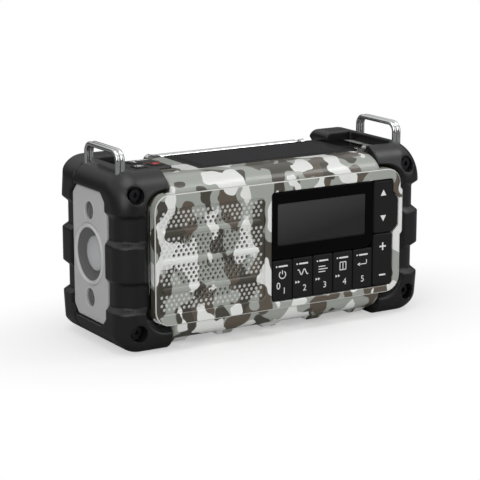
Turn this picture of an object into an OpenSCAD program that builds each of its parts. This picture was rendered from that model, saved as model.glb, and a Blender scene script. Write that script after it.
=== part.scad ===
// Hand crank radio: a moulded shell caged by two rubber bumpers, with a torch on the left end,
// a solar panel and telescopic antenna on top, a display and keys on the front,
// and a folding crank on the back that drives a generator through two gear stages.
// X runs to the right, Y to the back, Z up. The radio stands on the bumpers at z = 0.

/* [Overall] */
// Width over the bumpers
body_w = 196; // [190:1:210]
// Height over the bumpers
body_h = 98; // [96:1:104]
// Depth over the bumpers
bumper_d = 77; // [75:1:84]
// How far the front plate stands proud of the bumpers
plate_proud = 2.5; // [1:0.5:4]

/* [Bumpers] */
// Corner radius seen from above
bumper_plan_r = 11; // [8:0.5:14]
// Corner radius seen from the front
bumper_front_r = 14; // [10:0.5:18]
// Radius of the bumper's front top edge
bumper_end_r = 20; // [14:0.5:22]
// Radius of the bumper's rear edges
rear_edge_r = 8; // [6:0.5:12]
// Radius of the bumper's front bottom edge
front_foot_r = 10; // [6:0.5:14]
// Depth of the recessed bands
band_depth = 2.5; // [1:0.25:4]
// Height of each recessed band
band_h = 12.3; // [8:0.5:14]
// Distance from the middle of the bumper to the middle of each band
band_offset = 17.9; // [16:0.5:20]
// Height of the sloped edges beside each band
band_slope = 2.6; // [1:0.2:4]
// Width of each corner block
block_w = 31; // [29:0.5:33]
// Depth of each front corner block
front_block_d = 14.5; // [12:0.5:18]
// Depth of each rear corner block
rear_block_d = 22; // [20:0.5:26]
// Width of the end window
window_w = 40; // [36:1:44]
// Height of the bumper above and below the end window
window_margin = 12.5; // [11:0.5:14]
// Cut at the end window's corners
window_cut = 5; // [2:0.5:8]
// Distance from the bumper's end to its screws
screw_inset_x = 11; // [9:0.5:13]
// Distance from the bumper's top and bottom to its screws
screw_inset_z = 12; // [11:0.5:14]
// Diameter of the screw shank
screw_d = 3; // [2.5:0.25:4]
// Diameter of the screw head
screw_head_d = 6; // [5:0.5:7]
// Diameter of the recess over each screw
screw_well_d = 9; // [8:0.5:10]
// Depth of the screw head's seat behind the bumper face
screw_well_depth = 7; // [6:0.5:9]

/* [Shell] */
// Wall thickness
wall = 2.4; // [1.8:0.2:3]
// Wall thickness under the solar panel
top_wall = 4; // [3.6:0.2:5]
// Distance from the bumper's end to the raised plates
plate_margin_x = 19; // [18:0.5:21]
// Distance from the bumper's top or bottom to the raised plates, on average
plate_margin_z = 13.5; // [12.5:0.5:14.5]
// Corner radius of the raised plates
plate_r = 9; // [6:0.5:12]
// Width of the bevel round the front plate
plate_bevel = 1.6; // [0.8:0.2:2.4]
// Height of the shell's underside above the ground
shell_lift = 3; // [2:0.5:5]
// How far the shell's top lies below the bumpers' top
shell_drop = 5; // [4:0.5:6]
// How far the front plate stands out from the shell
plate_t = 4.5; // [3.5:0.5:6]
// How far the rear plate stands out from the shell
rear_plate_t = 11; // [10:0.5:12]
// Space left behind the rear plate, inside the bumpers
rear_sink = 2.25; // [1:0.25:4]
// Radius of the shell's front top edge
front_top_r = 16; // [12:0.5:18]
// Radius of the shell's front bottom edge
front_bottom_r = 14; // [10:0.5:16]
// Radius of the shell's rear edges
rear_r = 4; // [2:0.5:6]
// Thickness of the seal between the shells
gasket_t = 1; // [0.6:0.2:1.6]

/* [Grille] */
// Distance from the plate's left edge to the grille
grille_margin = 4.5; // [4:0.1:6]
// Distance from the grille to the black inset
grille_gap = 6.6; // [5:0.1:8]
// Distance from the plate's top and bottom to the grille
grille_margin_z = 7.2; // [6.5:0.1:9]
// Distance between neighbouring holes
hole_pitch = 3; // [2.9:0.1:3.4]
// Distance between the lines of holes
line_pitch = 2.26; // [2.2:0.02:2.4]
// Diameter of the holes
hole_d = 1.7; // [1.4:0.1:2.2]
// Lines of holes in the outer bands; inner bands have one more
band_lines = 4; // [3:1:4]
// Bands of holes
hole_bands = 4; // [3:1:4]
// Distance from the outermost holes to the grille's top and bottom
hole_edge = 1.56; // [1.2:0.02:2]
// How far the face of the grille sits behind the plate
grille_sink = 1; // [0.5:0.1:1.2]
// Depth of the blind holes outside the speaker
dimple_depth = 0.8; // [0.6:0.1:1.6]

/* [Speaker] */
// Space at each side of the speaker, behind the grille
speaker_margin = 1.8; // [1.5:0.1:4]
// Depth of the basket
basket_depth = 15; // [12:0.5:18]
// Diameter of the magnet
magnet_d = 32; // [26:1:36]
// Thickness of the magnet
magnet_t = 10; // [8:0.5:12]

/* [Display and keys] */
// Distance from the plate's right edge to the black inset
inset_margin = 4.8; // [4.5:0.1:6]
// Distance from the plate's top and bottom to the black inset
inset_margin_z = 5; // [4:0.25:6]
// How far the inset's middle lies below the plate's middle
inset_drop = 1; // [0:0.1:1.5]
// Width of the rockers
rocker_w = 12.95; // [12:0.05:14]
// Number of keys
key_count = 5; // [5]
// Distance from key to key
key_pitch = 13.35; // [12.8:0.05:13.6]
// Height of the keys
key_h = 22.6; // [20:0.2:24]
// Gap between neighbouring keys
key_gap = 0.5; // [0.4:0.05:0.8]
// Travel of a key
key_travel = 0.8; // [0.5:0.1:1]
// Thickness of a key
key_t = 3.6; // [3.2:0.1:4]
// Thickness of the display window
window_t = 2.2; // [1.6:0.2:2.4]
// Width of the display
lcd_w = 58; // [54:0.5:60]
// Height of the display window above and below the LCD's picture
lcd_margin = 7.2; // [6:0.1:8]
// How far the finger rest of the tuning rocker reaches out
rest_reach = 3.6; // [2:0.1:4]
// Height of the finger rest
rest_h = 22; // [18:0.5:24]
// How far the plate bulges out round the finger rest
rest_bulge = 1.5; // [1:0.1:1.8]

/* [Torch] */
// Diameter of the torch bezel
bezel_d = 33.6; // [30:0.2:36]
// Diameter of the torch lens
lens_d = 19.4; // [17:0.2:21]
// Diameter of the small lamps
lamp_d = 10; // [8:0.2:11]
// Distance between the small lamps
lamp_pitch = 48; // [46:0.5:50]
// Depth of the reflector
reflector_depth = 12; // [9:0.5:14]

/* [Top] */
// Distance from the button pad to the solar window
solar_gap = 11.5; // [9:0.5:14]
// Depth of the solar window
solar_d = 41.5; // [38:0.5:42]
// Distance from the solar window to the right end of the shell's core
solar_margin = 2.7; // [2:0.1:4]
// Rear edge of the solar window, in front of the shell's back
solar_back = 1; // [0.8:0.1:2]
// Thickness of the solar window
solar_t = 1.4; // [1:0.2:2]
// Thickness of the solar cells
cell_t = 1; // [0.6:0.2:1.4]
// Width of the button pad
pad_w = 28; // [27:0.5:29]
// Depth of the button pad
pad_d = 25; // [24:0.5:27]
// Width of a top button
button_w = 7.6; // [7:0.2:8]
// Depth of a top button
button_d = 8; // [7:0.2:8.4]
// Travel of a top button
button_travel = 0.8; // [0.5:0.1:1]

/* [Bails] */
// Diameter of the bail wire
wire_d = 2.3; // [2:0.1:2.6]
// Distance between the two strands of a bail
strand_pitch = 3.2; // [3:0.1:3.6]
// Length of a bail between its legs
bail_l = 36.2; // [34:0.1:38]
// Height of a bail above the bumper
bail_h = 10.4; // [9:0.1:12]
// Bend radius of a bail's corners
bail_r = 5; // [4:0.5:6]
// Distance from the bumper's end to its bail
bail_inset = 9; // [8.5:0.1:9.5]
// How deep a bail's feet go into the bumper
foot_depth = 4.5; // [3:0.5:6]

/* [Crank] */
// How far the crank axis lies below the middle
crank_drop = 4; // [3:0.25:4.5]
// Gap between the crank's tip and the antenna
arm_clear = 0.6; // [0.5:0.1:3]
// Distance from the battery door to the crank's dish
dish_gap = 4.7; // [4:0.1:6]
// Width of the arm
arm_w = 17.6; // [17:0.2:18.4]
// Thickness of the arm
arm_t = 8.6; // [8:0.2:9]
// Diameter of the crank shaft
shaft_d = 6; // [5:0.5:7]
// Diameter of the knob
knob_d = 10.4; // [9:0.2:10.6]
// Distance from the crank's hub to the folded knob
knob_gap = 3.55; // [2.5:0.05:5]
// Diameter of the post that the knob turns on
post_d = 4; // [3:0.5:5]
// Diameter of the knob's hinge pin
hinge_d = 3; // [2:0.25:3.5]

/* [Gears] */
// Tooth size: pitch diameter over teeth
gear_module = 0.8; // [0.8]
// Teeth on the crank's gear
drive_teeth = 60; // [56:2:60]
// Teeth on the idler's pinion
idler_pinion_teeth = 15; // [15:1:16]
// Teeth on the idler's wheel
idler_teeth = 48; // [46:2:48]
// Teeth on the rotor's pinion
rotor_teeth = 12; // [12:1:13]
// Direction from the crank to the idler
idler_angle = 25; // [20:1:30]
// Direction from the idler to the rotor
rotor_angle = -95; // [-100:1:-90]
// Thickness of the wheels
gear_t = 4; // [3:0.5:4.5]
// Diameter of the idler's axle
axle_d = 4; // [3:0.25:5]
// Diameter of the generator
generator_d = 30; // [26:1:32]
// Length of the generator
generator_l = 14; // [12:0.5:16]

/* [Antenna] */
// How far the antenna's axis lies below the shell's top
antenna_drop = 3.6; // [3:0.1:3.6]
// Distance from the left end of the shell's core to the antenna's pivot
antenna_inset = 26.7; // [25:0.1:29]
// Diameter of the antenna's outer tube
antenna_d = 5.6; // [5:0.2:6]
// Length of the outer tube from the pivot
antenna_l = 97; // [90:1:98]
// Wall of each antenna tube
tube_wall = 0.5; // [0.4:0.05:0.6]
// Distance that each tube draws out
draw = 75; // [60:1:78]

/* [Battery] */
// Diameter of a cell
cell_d = 14.5; // [14:0.1:14.6]
// Length of a cell
cell_l = 50.5; // [50:0.1:51]
// Thickness of the battery door
door_t = 2.2; // [1.8:0.2:2.6]

/* [Port] */
// Width of the port flap
flap_w = 30; // [26:0.5:34]
// Height of the port flap
flap_h = 36; // [32:0.5:40]
// Corner radius of the recess for the port flap
flap_corner = 0.8; // [0.6:0.1:1]
// Thickness of the port flap
flap_t = 1.8; // [1.4:0.1:2]
// Diameter of the earphone jack's bore
jack_d = 3.6; // [3.5:0.05:3.7]

/* [Clearances] */
// Gap between pieces that are assembled loosely
fit_gap = 0.3; // [0.25:0.05:0.4]
// Room between the end stubs and the shell's rear wall
stub_clear = 0.25; // [0.2:0.05:1]
// Radial gap of a shaft that turns in its bore
run_gap = 0.05; // [0.03:0.01:0.08]
// Backlash between meshing teeth
backlash = 0.2; // [0.15:0.01:0.3]

/* [Hidden] */
$fn = 48;
// Depth planes, from the front to the back
total_d = bumper_d + plate_proud;
y_plate = -total_d / 2;
y_front = y_plate + plate_proud;
y_back = total_d / 2;
y_mid = (y_front + y_back) / 2;
y_shell = y_plate + plate_t;
y_rear_plate = y_back - rear_sink;
y_rear = y_rear_plate - rear_plate_t;
y_split = y_back - rear_block_d;
// Where the front and rear shells meet
y_part = 0;
// Heights
z_mid = body_h / 2;
z_top = body_h - shell_drop;
plate_z = z_mid + 1.2;
plate_face_t = 3.2;
// Spans inside the bumpers
block_gap = body_w - 2 * block_w;
window_h = body_h - 2 * window_margin;
screw_pitch_x = body_w - 2 * screw_inset_x;
screw_pitch_z = body_h - 2 * screw_inset_z;
plate_w = body_w - 2 * plate_margin_x;
plate_h = body_h - 2 * plate_margin_z;
bail_pitch = body_w - 2 * bail_inset;
// Half widths of the shell's stretches
core_x = block_gap / 2 - fit_gap;
bar_x = body_w / 2 - bumper_front_r;
wing_x = bar_x - fit_gap;
stub_x = body_w / 2 - 4.5;
stub_d = 2 * (y_rear - y_mid - stub_clear);
stub_h = screw_pitch_z - screw_well_d;
wing_y0 = y_front + front_block_d + fit_gap;
wing_y1 = y_split - fit_gap;
// Display and keys
keys_w = key_count * key_pitch;
inset_w = keys_w + rocker_w + 2 * key_gap;
inset_h = plate_h - 2 * inset_margin_z;
inset_right = plate_w / 2 - inset_margin;
inset_left = inset_right - inset_w;
inset_x = (inset_left + inset_right) / 2;
inset_z = plate_z - inset_drop;
inset_bottom = inset_z - inset_h / 2;
inset_top = inset_z + inset_h / 2;
key_bottom = inset_bottom + key_gap;
window_bottom = key_bottom + key_h + key_gap;
rocker_left = inset_left + keys_w + key_gap;
rocker_h = (inset_h - 3 * key_gap) / 2;
lcd_h = inset_top - window_bottom - 2 * lcd_margin;
lcd_z = (inset_top + window_bottom) / 2 + 0.7;
// Grille and speaker
grille_w = plate_w - inset_margin - inset_w - grille_gap - grille_margin;
grille_h = plate_h - 2 * grille_margin_z;
grille_x = -plate_w / 2 + grille_margin + grille_w / 2;
lines_h = (band_lines - 1) * line_pitch + hole_d;
band_pitch = (grille_h - lines_h - 2 * hole_edge) / (hole_bands - 1);
ridge_h = band_pitch - lines_h - line_pitch - 0.86;
speaker_d = min(grille_w, grille_h) - 2 * speaker_margin;
speaker_z = z_mid + 0.5;
y_face_back = y_plate + plate_face_t;
y_keys = y_plate + fit_gap;
y_key_back = y_keys + key_t;
y_mat = y_key_back + key_travel + fit_gap;
dome_h = 1.6;
mat_t = 1;
y_board = y_mat + dome_h + mat_t;
board_t = 1.6;
rocker_swing = 2.5;
// Bails
bail_y = y_mid - 3.95;
bail_top = body_h + bail_h - wire_d / 2;
foot_z = body_h - foot_depth;
// Torch
panel_t = 3;
panel_sink = 1.4;
x_panel = body_w / 2 - panel_sink;
bezel_proud = 1;
lens_sink = 2;
lens_t = 1.6;
// Top
z_solar = z_top + fit_gap;
solar_y = y_rear - solar_back - solar_d / 2;
pad_x = pad_w / 2 + 5.7 - wing_x;
solar_x0 = pad_x + pad_w / 2 + solar_gap;
solar_w = core_x - solar_margin - solar_x0;
solar_x = solar_x0 + solar_w / 2;
pad_y = wing_y1 - 1 - pad_d / 2;
pad_t = 2;
buttons = [["siren", 7.9, -2.5], ["torch", 0, 7.2], ["light", -3.3, -5]];
// Battery
cell_pitch = cell_d + 0.5;
battery_x = -plate_w / 2 + 2 * wall + 1.5 * cell_pitch + 1;
bay_w = 3 * cell_pitch + 1;
bay_h = cell_l + 5;
bay_floor = y_rear_plate - door_t - cell_d - 1;
// Crank and gears, from the rear wall forwards
antenna_z = z_top - antenna_drop;
antenna_x = antenna_inset - core_x;
crank_z = z_mid - crank_drop;
arm_tip = min(antenna_z - antenna_d / 2 - crank_z - arm_clear, (plate_w - 73) / 2 - 1.5);
dish_r = arm_tip + 1.5;
crank_x = battery_x + bay_w / 2 + 2.5 + dish_gap + dish_r;
crank_l = arm_tip - 7;
y_wall = y_rear - wall;
bush_r = shaft_d / 2 + 2.2;
y_arm = y_rear + 1.2;
y_knob = y_arm + arm_t / 2 + 0.4;
slot_w = knob_d + 1;
hub_r = 11;
knob_l = crank_l - hub_r - 4.45 - knob_gap;
y_drive = y_wall - 4 - gear_t;
y_idler = y_drive - 1.5 - gear_t;
plate_gear_t = 2;
y_gear_plate = y_idler - 3 - plate_gear_t;
pitch_r = gear_module / 2;
idler_c = pitch_r * (drive_teeth + idler_pinion_teeth);
rotor_c = pitch_r * (idler_teeth + rotor_teeth);
idler_x = crank_x + idler_c * cos(idler_angle);
idler_z = crank_z + idler_c * sin(idler_angle);
rotor_x = idler_x + rotor_c * cos(rotor_angle);
rotor_z = idler_z + rotor_c * sin(rotor_angle);
rotor_shaft_d = 3;
post_x = [crank_x - 20, crank_x + 38];
post_z = [shell_lift + 14, z_top - 14];
posts = [[post_x[0], post_z[0]], [post_x[1], post_z[0]], [post_x[0], post_z[1]], [post_x[1], post_z[1]]];
post_r = 3.5;
// Antenna
swivel_r = 4.5;
y_swivel = y_rear_plate - swivel_r - 1.5;
y_antenna = y_back - antenna_d / 2 - 0.2;
knuckle_r = antenna_d / 2 + 0.1;
plate_top = plate_z + plate_h / 2;
base_z = plate_top - 3;
tip_l = 4;
tube_step = 1.5;
// Port
y_flap = y_mid;
flap_z = z_mid;
flap_hinge_r = 1.6;

// A flat shape in Y and Z, extruded along X
module along_x(x0, x1) {
    translate([x0, 0, 0]) rotate([90, 0, 90]) linear_extrude(x1 - x0) children();
}

// A flat shape in X and Z, extruded along Y
module along_y(y0, y1) {
    translate([0, y1, 0]) rotate([90, 0, 0]) linear_extrude(y1 - y0) children();
}

// A flat shape in X and Y, extruded along Z
module along_z(z0, z1) {
    translate([0, 0, z0]) linear_extrude(z1 - z0) children();
}

// A cylinder along X, Y or Z from one plane to another
module rod_x(x0, x1, y, z, r) {
    translate([x0, y, z]) rotate([0, 90, 0]) cylinder(r = r, h = x1 - x0);
}

module rod_y(y0, y1, x, z, r) {
    translate([x, y1, z]) rotate([90, 0, 0]) cylinder(r = r, h = y1 - y0);
}

module rod_z(z0, z1, x, y, r) {
    translate([x, y, z0]) cylinder(r = r, h = z1 - z0);
}

// Rectangle between two corners, with one radius per corner:
// low-low, high-low, high-high, low-high
module corner_rect(a, b, radii) {
    corners = [a, [b.x, a.y], b, [a.x, b.y]];
    difference() {
        translate(a) square(b - a);
        for (i = [0:3]) {
            r = radii[i];
            turn = 90 * i;
            translate(corners[i]) rotate(turn) difference() {
                translate([-1, -1]) square(r + 1);
                translate([r, r]) circle(r);
            }
        }
    }
}

module round_rect(a, b, r) {
    corner_rect(a, b, [r, r, r, r]);
}

// Rectangle about a centre
module mid_rect(c, size, r) {
    round_rect(c - size / 2, c + size / 2, r);
}

// Rectangle about a centre, with its corners cut at 45 degrees
module cut_rect(c, size, cut) {
    h = size / 2;
    translate(c) polygon([
        [cut - h.x, -h.y], [h.x - cut, -h.y], [h.x, cut - h.y], [h.x, h.y - cut],
        [h.x - cut, h.y], [cut - h.x, h.y], [-h.x, h.y - cut], [-h.x, cut - h.y]
    ]);
}

// SHELL

// The shell's outline from the end, shrunk by an inset
module core_profile(inset, top) {
    corner_rect(
        [y_shell + inset, shell_lift + inset], [y_rear - inset, z_top - top],
        [front_bottom_r - inset, max(rear_r - inset, 0.5), max(rear_r - inset, 0.5), front_top_r - inset]
    );
}

// Four crossing blocks: the core between the corner blocks, the stretch behind the plates,
// the wings between front and rear blocks, and the stubs that carry the bumpers
module shell_solid(inset, top) {
    along_x(inset - core_x, core_x - inset) core_profile(inset, top);
    along_y(y_shell + inset, y_rear - inset)
        mid_rect([0, plate_z], [plate_w - 2 * inset, plate_h - 2 * inset], plate_r);
    along_z(shell_lift + inset, z_top - top)
        round_rect([inset - wing_x, wing_y0 + inset], [wing_x - inset, wing_y1 - inset], 3);
    along_x(inset - stub_x, stub_x - inset)
        mid_rect([y_mid, z_mid], [stub_d - 2 * inset, stub_h - 2 * inset], 4);
}

// The hollow inside the shell
module shell_hollow() {
    shell_solid(wall, top_wall);
    along_y(y_face_back, y_shell + wall + 1)
        mid_rect([0, plate_z], [plate_w - 4 * wall, plate_h - 2.4 * wall], plate_r - wall);
}

// Front plate with a bevel all round
module front_plate() {
    bevel_at = y_plate + plate_bevel;
    along_y(bevel_at, y_shell + 1) mid_rect([0, plate_z], [plate_w, plate_h], plate_r);
    intersection() {
        along_y(y_plate, bevel_at) mid_rect([0, plate_z], [plate_w, plate_h], plate_r);
        hull() {
            along_y(bevel_at - 0.01, bevel_at + 0.5)
                mid_rect([0, plate_z], [plate_w, plate_h], plate_r, $fn = 32);
            along_y(y_plate, y_plate + 0.01)
                mid_rect([0, plate_z], [plate_w, plate_h] - [2, 2] * plate_bevel, plate_r - plate_bevel, $fn = 32);
        }
    }
}

// The plate's bulge round the finger rest, seen from the front and grown by a gap
module bulge_outline(gap) {
    x0 = inset_right - 1;
    x1 = plate_w / 2 + gap;
    z0 = inset_z + key_gap - 2.5 - gap;
    z1 = z0 + rest_h + 5 + 2 * gap;
    polygon([[x0, z0], [x1, z0], [x1 + rest_bulge, z0 + rest_bulge], [x1 + rest_bulge, z1 - rest_bulge],
        [x1, z1], [x0, z1]]);
}

// The bulge with its bevelled edge
module front_bulge() {
    bevel_at = y_plate + plate_bevel;
    along_y(bevel_at, y_shell + 1) bulge_outline(0);
    hull() {
        along_y(bevel_at - 0.01, bevel_at + 0.5) bulge_outline(0);
        along_y(y_plate, y_plate + 0.01) bulge_outline(-plate_bevel);
    }
}

// The black inset's outline, with the finger rest on the right
module inset_outline(gap) {
    offset_size = [inset_w, inset_h] + 2 * [gap, gap];
    mid_rect([inset_x, inset_z], offset_size, 2);
    rest_outline(gap);
}

// The finger rest beside the tuning rocker, with sloped ends
module rest_outline(gap) {
    x0 = inset_right - 1;
    x1 = inset_right + rest_reach + gap;
    z0 = inset_z + key_gap - gap;
    z1 = z0 + rest_h + 2 * gap;
    polygon([[x0, z0], [x1 - rest_reach, z0], [x1, z0 + rest_reach], [x1, z1 - rest_reach],
        [x1 - rest_reach, z1], [x0, z1]]);
}

module front_cuts() {
    along_y(y_plate - 1, y_shell + wall + 1)
        mid_rect([grille_x, speaker_z], [grille_w, grille_h] + 2 * [fit_gap, fit_gap] / 3, 3);
    along_y(y_plate - 1, y_shell + wall + 1) inset_outline(fit_gap / 2);
    solar_recess();
    pad_recess();
    rod_x(-stub_x - 1, -stub_x + wall + 1, y_mid, z_mid, lens_d / 2 + 3);
    along_x(stub_x - wall - 1, stub_x + 1) mid_rect([y_flap, flap_z], [22, 26], 2);
    rod_z(z_top - 3, z_top + 1, charge_at().x, charge_at().y, 1.6);
}

module solar_recess() {
    along_z(z_solar - solar_t - cell_t, z_top + 1)
        mid_rect([solar_x, solar_y], [solar_w, solar_d] + [fit_gap, fit_gap], 2);
}

module pad_recess() {
    along_z(z_top - pad_t + 1, z_top + 1) mid_rect([pad_x, pad_y], [pad_w, pad_d] + [fit_gap, fit_gap], 3);
    for (b = buttons)
        along_z(z_top - top_wall - 1, z_top)
            mid_rect([pad_x + b[1], pad_y + b[2]], [3, 3], 0.5);
}

function charge_at() = [core_x + 7, wing_y0 + 12];

module front_shell() {
    color("lightgray") difference() {
        union() {
            intersection() {
                shell_solid(0, 0);
                translate([-body_w, y_plate, 0]) cube([2 * body_w, y_part - gasket_t / 2 - y_plate, body_h]);
            }
            front_plate();
            front_bulge();
        }
        shell_hollow();
        front_cuts();
    }
}

module rear_shell() {
    color("lightgray") difference() {
        union() {
            difference() {
                intersection() {
                    shell_solid(0, 0);
                    translate([-body_w, y_part + gasket_t / 2, 0])
                        cube([2 * body_w, y_back, body_h]);
                }
                shell_hollow();
            }
            difference() {
                along_y(y_rear - wall, y_rear_plate) mid_rect([0, plate_z], [plate_w, plate_h], plate_r);
                rod_y(y_rear, y_back, crank_x, crank_z, dish_r);
            }
            along_y(bay_floor - wall, y_rear) mid_rect([battery_x, speaker_z], [bay_w, bay_h] + [4, 4], 2);
            rod_y(y_wall - 3, y_rear, crank_x, crank_z, bush_r + 2.5);
            for (p = posts) rod_y(y_gear_plate + plate_gear_t, y_rear - wall / 2, p[0], p[1], post_r);
        }
        along_y(bay_floor, y_back) mid_rect([battery_x, speaker_z], [bay_w, bay_h], 1.5);
        along_y(y_rear_plate - door_t, y_back)
            mid_rect([battery_x, speaker_z], [bay_w, bay_h] + [5, 5] + [fit_gap, fit_gap], 3);
        rod_y(y_wall - 4, y_rear + 1, crank_x, crank_z, bush_r);
        rod_z(base_z - 4.5, plate_top + 1, antenna_x, y_swivel, 2 + run_gap);
        rod_z(base_z, plate_top + 1, antenna_x, y_swivel, swivel_r + fit_gap);
        rod_y(y_idler - 2, y_wall + wall / 2, idler_x, idler_z, axle_d / 2);
        front_cuts();
    }
}

module shell_gasket() {
    color("dimgray") intersection() {
        difference() {
            shell_solid(0, 0);
            shell_hollow();
            front_cuts();
        }
        translate([-body_w, y_part - gasket_t / 2, 0]) cube([2 * body_w, gasket_t, body_h]);
    }
}

// BUMPERS

// Upright outline of the raised blocks and recessed bands, as a half width over height
function block_profile(half) =
    let (
        inner = half - band_depth,
        bands = [for (s = [-1, 1]) z_mid + 0.2 + s * band_offset]
    )
    concat(
        [[0, 0], [half, 0]],
        [for (b = bands)
            each [[half, b - band_h / 2 - band_slope], [inner, b - band_h / 2],
                [inner, b + band_h / 2], [half, b + band_h / 2 + band_slope]]],
        [[half, body_h], [0, body_h]]
    );

// Blocks and bands carried round the end: a revolved column at each corner, joined by straight runs
module block_stack() {
    corner_x = body_w / 2 - bumper_plan_r;
    corner_y = bumper_d / 2 - bumper_plan_r;
    for (s = [-1, 1])
        translate([corner_x, y_mid + s * corner_y, 0]) rotate_extrude() polygon(block_profile(bumper_plan_r));
    translate([corner_x, y_mid + corner_y, 0]) rotate([90, 0, 0])
        linear_extrude(2 * corner_y) polygon(block_profile(bumper_plan_r));
    for (s = [0, 1])
        translate([0, y_mid, 0]) mirror([0, s, 0]) translate([0, corner_y, 0]) rotate([90, 0, 90])
            linear_extrude(corner_x) polygon(block_profile(bumper_plan_r));
    translate([0, y_mid - corner_y, 0]) cube([corner_x, 2 * corner_y, body_h]);
}

// Right bumper in one piece: the rounded block stack, opened at the front, top and end
module bumper_body(side) {
    difference() {
        intersection() {
            block_stack();
            along_y(y_front, y_back) round_rect([-body_w / 2, 0], [body_w / 2, body_h], bumper_front_r);
            along_x(0, body_w / 2)
                corner_rect([y_front, 0], [y_back, body_h], [front_foot_r, rear_edge_r, rear_edge_r, bumper_end_r]);
        }
        translate([-1, y_front - 1, -1]) cube([block_gap / 2 + 1, bumper_d + 2, body_h + 2]);
        along_y(y_front - 1, y_back + 1)
            mid_rect([0, plate_z], [plate_w, plate_h] + [2, 2], plate_r + 1);
        if (side > 0) along_y(y_front - 1, y_shell + 2) bulge_outline(1);
        along_z(shell_lift - fit_gap, body_h + 1) round_rect([0, y_front + front_block_d], [bar_x, y_split], 3);
        along_x(0, stub_x + fit_gap)
            mid_rect([y_mid, z_mid], [stub_d, stub_h] + 2 * [fit_gap, fit_gap], 4 + fit_gap);
        along_x(stub_x - 1, body_w) cut_rect([y_mid, z_mid], [window_w, window_h], window_cut);
        for (s = [-1, 1]) {
            screw_z = z_mid + s * screw_pitch_z / 2;
            rod_y(y_front - 1, y_front + screw_well_depth, screw_pitch_x / 2, screw_z, screw_well_d / 2);
            rod_y(y_front, y_split + 14, screw_pitch_x / 2, screw_z, screw_d / 2);
        }
        if (side > 0) antenna_notch();
        translate([bail_pitch / 2, 0, 0]) bail_feet(fit_gap / 3);
    }
}

// Notch in the rear corner block that the antenna draws out through, open upwards and backwards
module antenna_notch() {
    r = antenna_d / 2 + 2 * fit_gap;
    rod_x(0, body_w / 2 + 1, y_antenna, antenna_z, r);
    translate([0, y_antenna, antenna_z]) rotate([-60, 0, 0]) translate([0, -r, 0]) cube([body_w / 2 + 1, 2 * r, 20]);
}

module bumper_half(side, rear) {
    color("#2d2d2d") mirror([side < 0 ? 1 : 0, 0, 0]) intersection() {
        bumper_body(side);
        translate([0, rear ? y_split : y_front - 1, -1])
            cube([body_w, rear ? rear_block_d + 1 : y_split - y_front + 1, body_h + 2]);
    }
}

module left_bumper_front() { bumper_half(-1, false); }
module left_bumper_rear() { bumper_half(-1, true); }
module right_bumper_front() { bumper_half(1, false); }
module right_bumper_rear() { bumper_half(1, true); }

module bumper_screws() {
    seat = y_front + screw_well_depth;
    color("#1c1c1c")
        for (sx = [-1, 1], sz = [-1, 1]) {
            x = sx * screw_pitch_x / 2;
            z = z_mid + sz * screw_pitch_z / 2;
            rod_y(seat, y_split + 13, x, z, screw_d / 2);
            difference() {
                rod_y(seat - 2.4, seat, x, z, screw_head_d / 2);
                translate([x, seat - 1, z]) rotate([90, 0, 0]) cylinder(d = screw_head_d * 0.5, h = 2, $fn = 6);
            }
        }
}

// BAILS

// Where the bail's two legs stand
module bail_feet(gap) {
    for (s = [-1, 1], t = [-1, 1])
        rod_z(foot_z - gap, body_h + 5, t * strand_pitch / 2, bail_y + s * bail_l / 2, wire_d / 2 + gap);
}

// A quarter bend of wire from upright to level
module wire_bend(y, z, turn) {
    translate([0, y, z]) rotate([turn, 0, 0]) rotate([0, -90, 0]) rotate_extrude(angle = 90)
        translate([bail_r, 0]) circle(d = wire_d);
}

// Two strands of wire, side by side, joined at the feet by short bars
module bail(x) {
    half = bail_l / 2;
    bend_z = bail_top - bail_r;
    color("silver") translate([x, 0, 0]) {
        for (t = [-1, 1]) translate([t * strand_pitch / 2, 0, 0]) {
            for (s = [-1, 1]) rod_z(foot_z, bend_z, 0, bail_y + s * half, wire_d / 2);
            rod_y(bail_y - half + bail_r, bail_y + half - bail_r, 0, bail_top, wire_d / 2);
            wire_bend(bail_y + half - bail_r, bend_z, 0);
            wire_bend(bail_y - half + bail_r, bend_z, 90);
        }
    }
}

module left_bail() { bail(-bail_pitch / 2); }
module right_bail() { bail(bail_pitch / 2); }

// TORCH

module torch_panel() {
    color("#a5a5a5") difference() {
        along_x(-x_panel, panel_t - x_panel)
            cut_rect([y_mid, z_mid], [window_w, window_h] - [2, 2] * fit_gap, window_cut);
        rod_x(-x_panel - 1, panel_t - x_panel + 1, y_mid, z_mid, bezel_d / 2 + fit_gap / 3);
        for (s = [-1, 1])
            rod_x(-x_panel - 1, panel_t - x_panel + 1, y_mid, z_mid + s * lamp_pitch / 2, lamp_d / 2 + fit_gap / 3);
    }
}

// Turned ring with a rounded lip, revolved about the torch's axis
module torch_bezel() {
    inner = lens_d / 2 + fit_gap / 3;
    outer = bezel_d / 2;
    sleeve = lens_d / 2 + 2.6;
    depth = panel_t + bezel_proud;
    color("#b5b5b5") translate([panel_t - x_panel, y_mid, z_mid]) rotate([0, -90, 0]) rotate_extrude()
        polygon([[inner, -lens_sink], [sleeve, -lens_sink], [sleeve, 0], [outer, 0], [outer, depth - 0.6],
            [outer - 0.6, depth], [outer - 1.6, depth], [outer - 2.2, depth - 0.6],
            [inner + 1.2, lens_t - lens_sink + 0.6], [inner, lens_t - lens_sink]]);
}

module torch_lens() {
    color("#dfe6ea") translate([panel_t - x_panel + lens_sink, y_mid, z_mid]) rotate([0, -90, 0]) rotate_extrude()
        polygon([[0, 0], [lens_d / 2, 0], [lens_d / 2, lens_t - 0.2], [0.42 * lens_d, lens_t + 0.7],
            [0.28 * lens_d, lens_t + 1.4], [0.14 * lens_d, lens_t + 1.8], [0, lens_t + 1.9]]);
}

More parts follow.
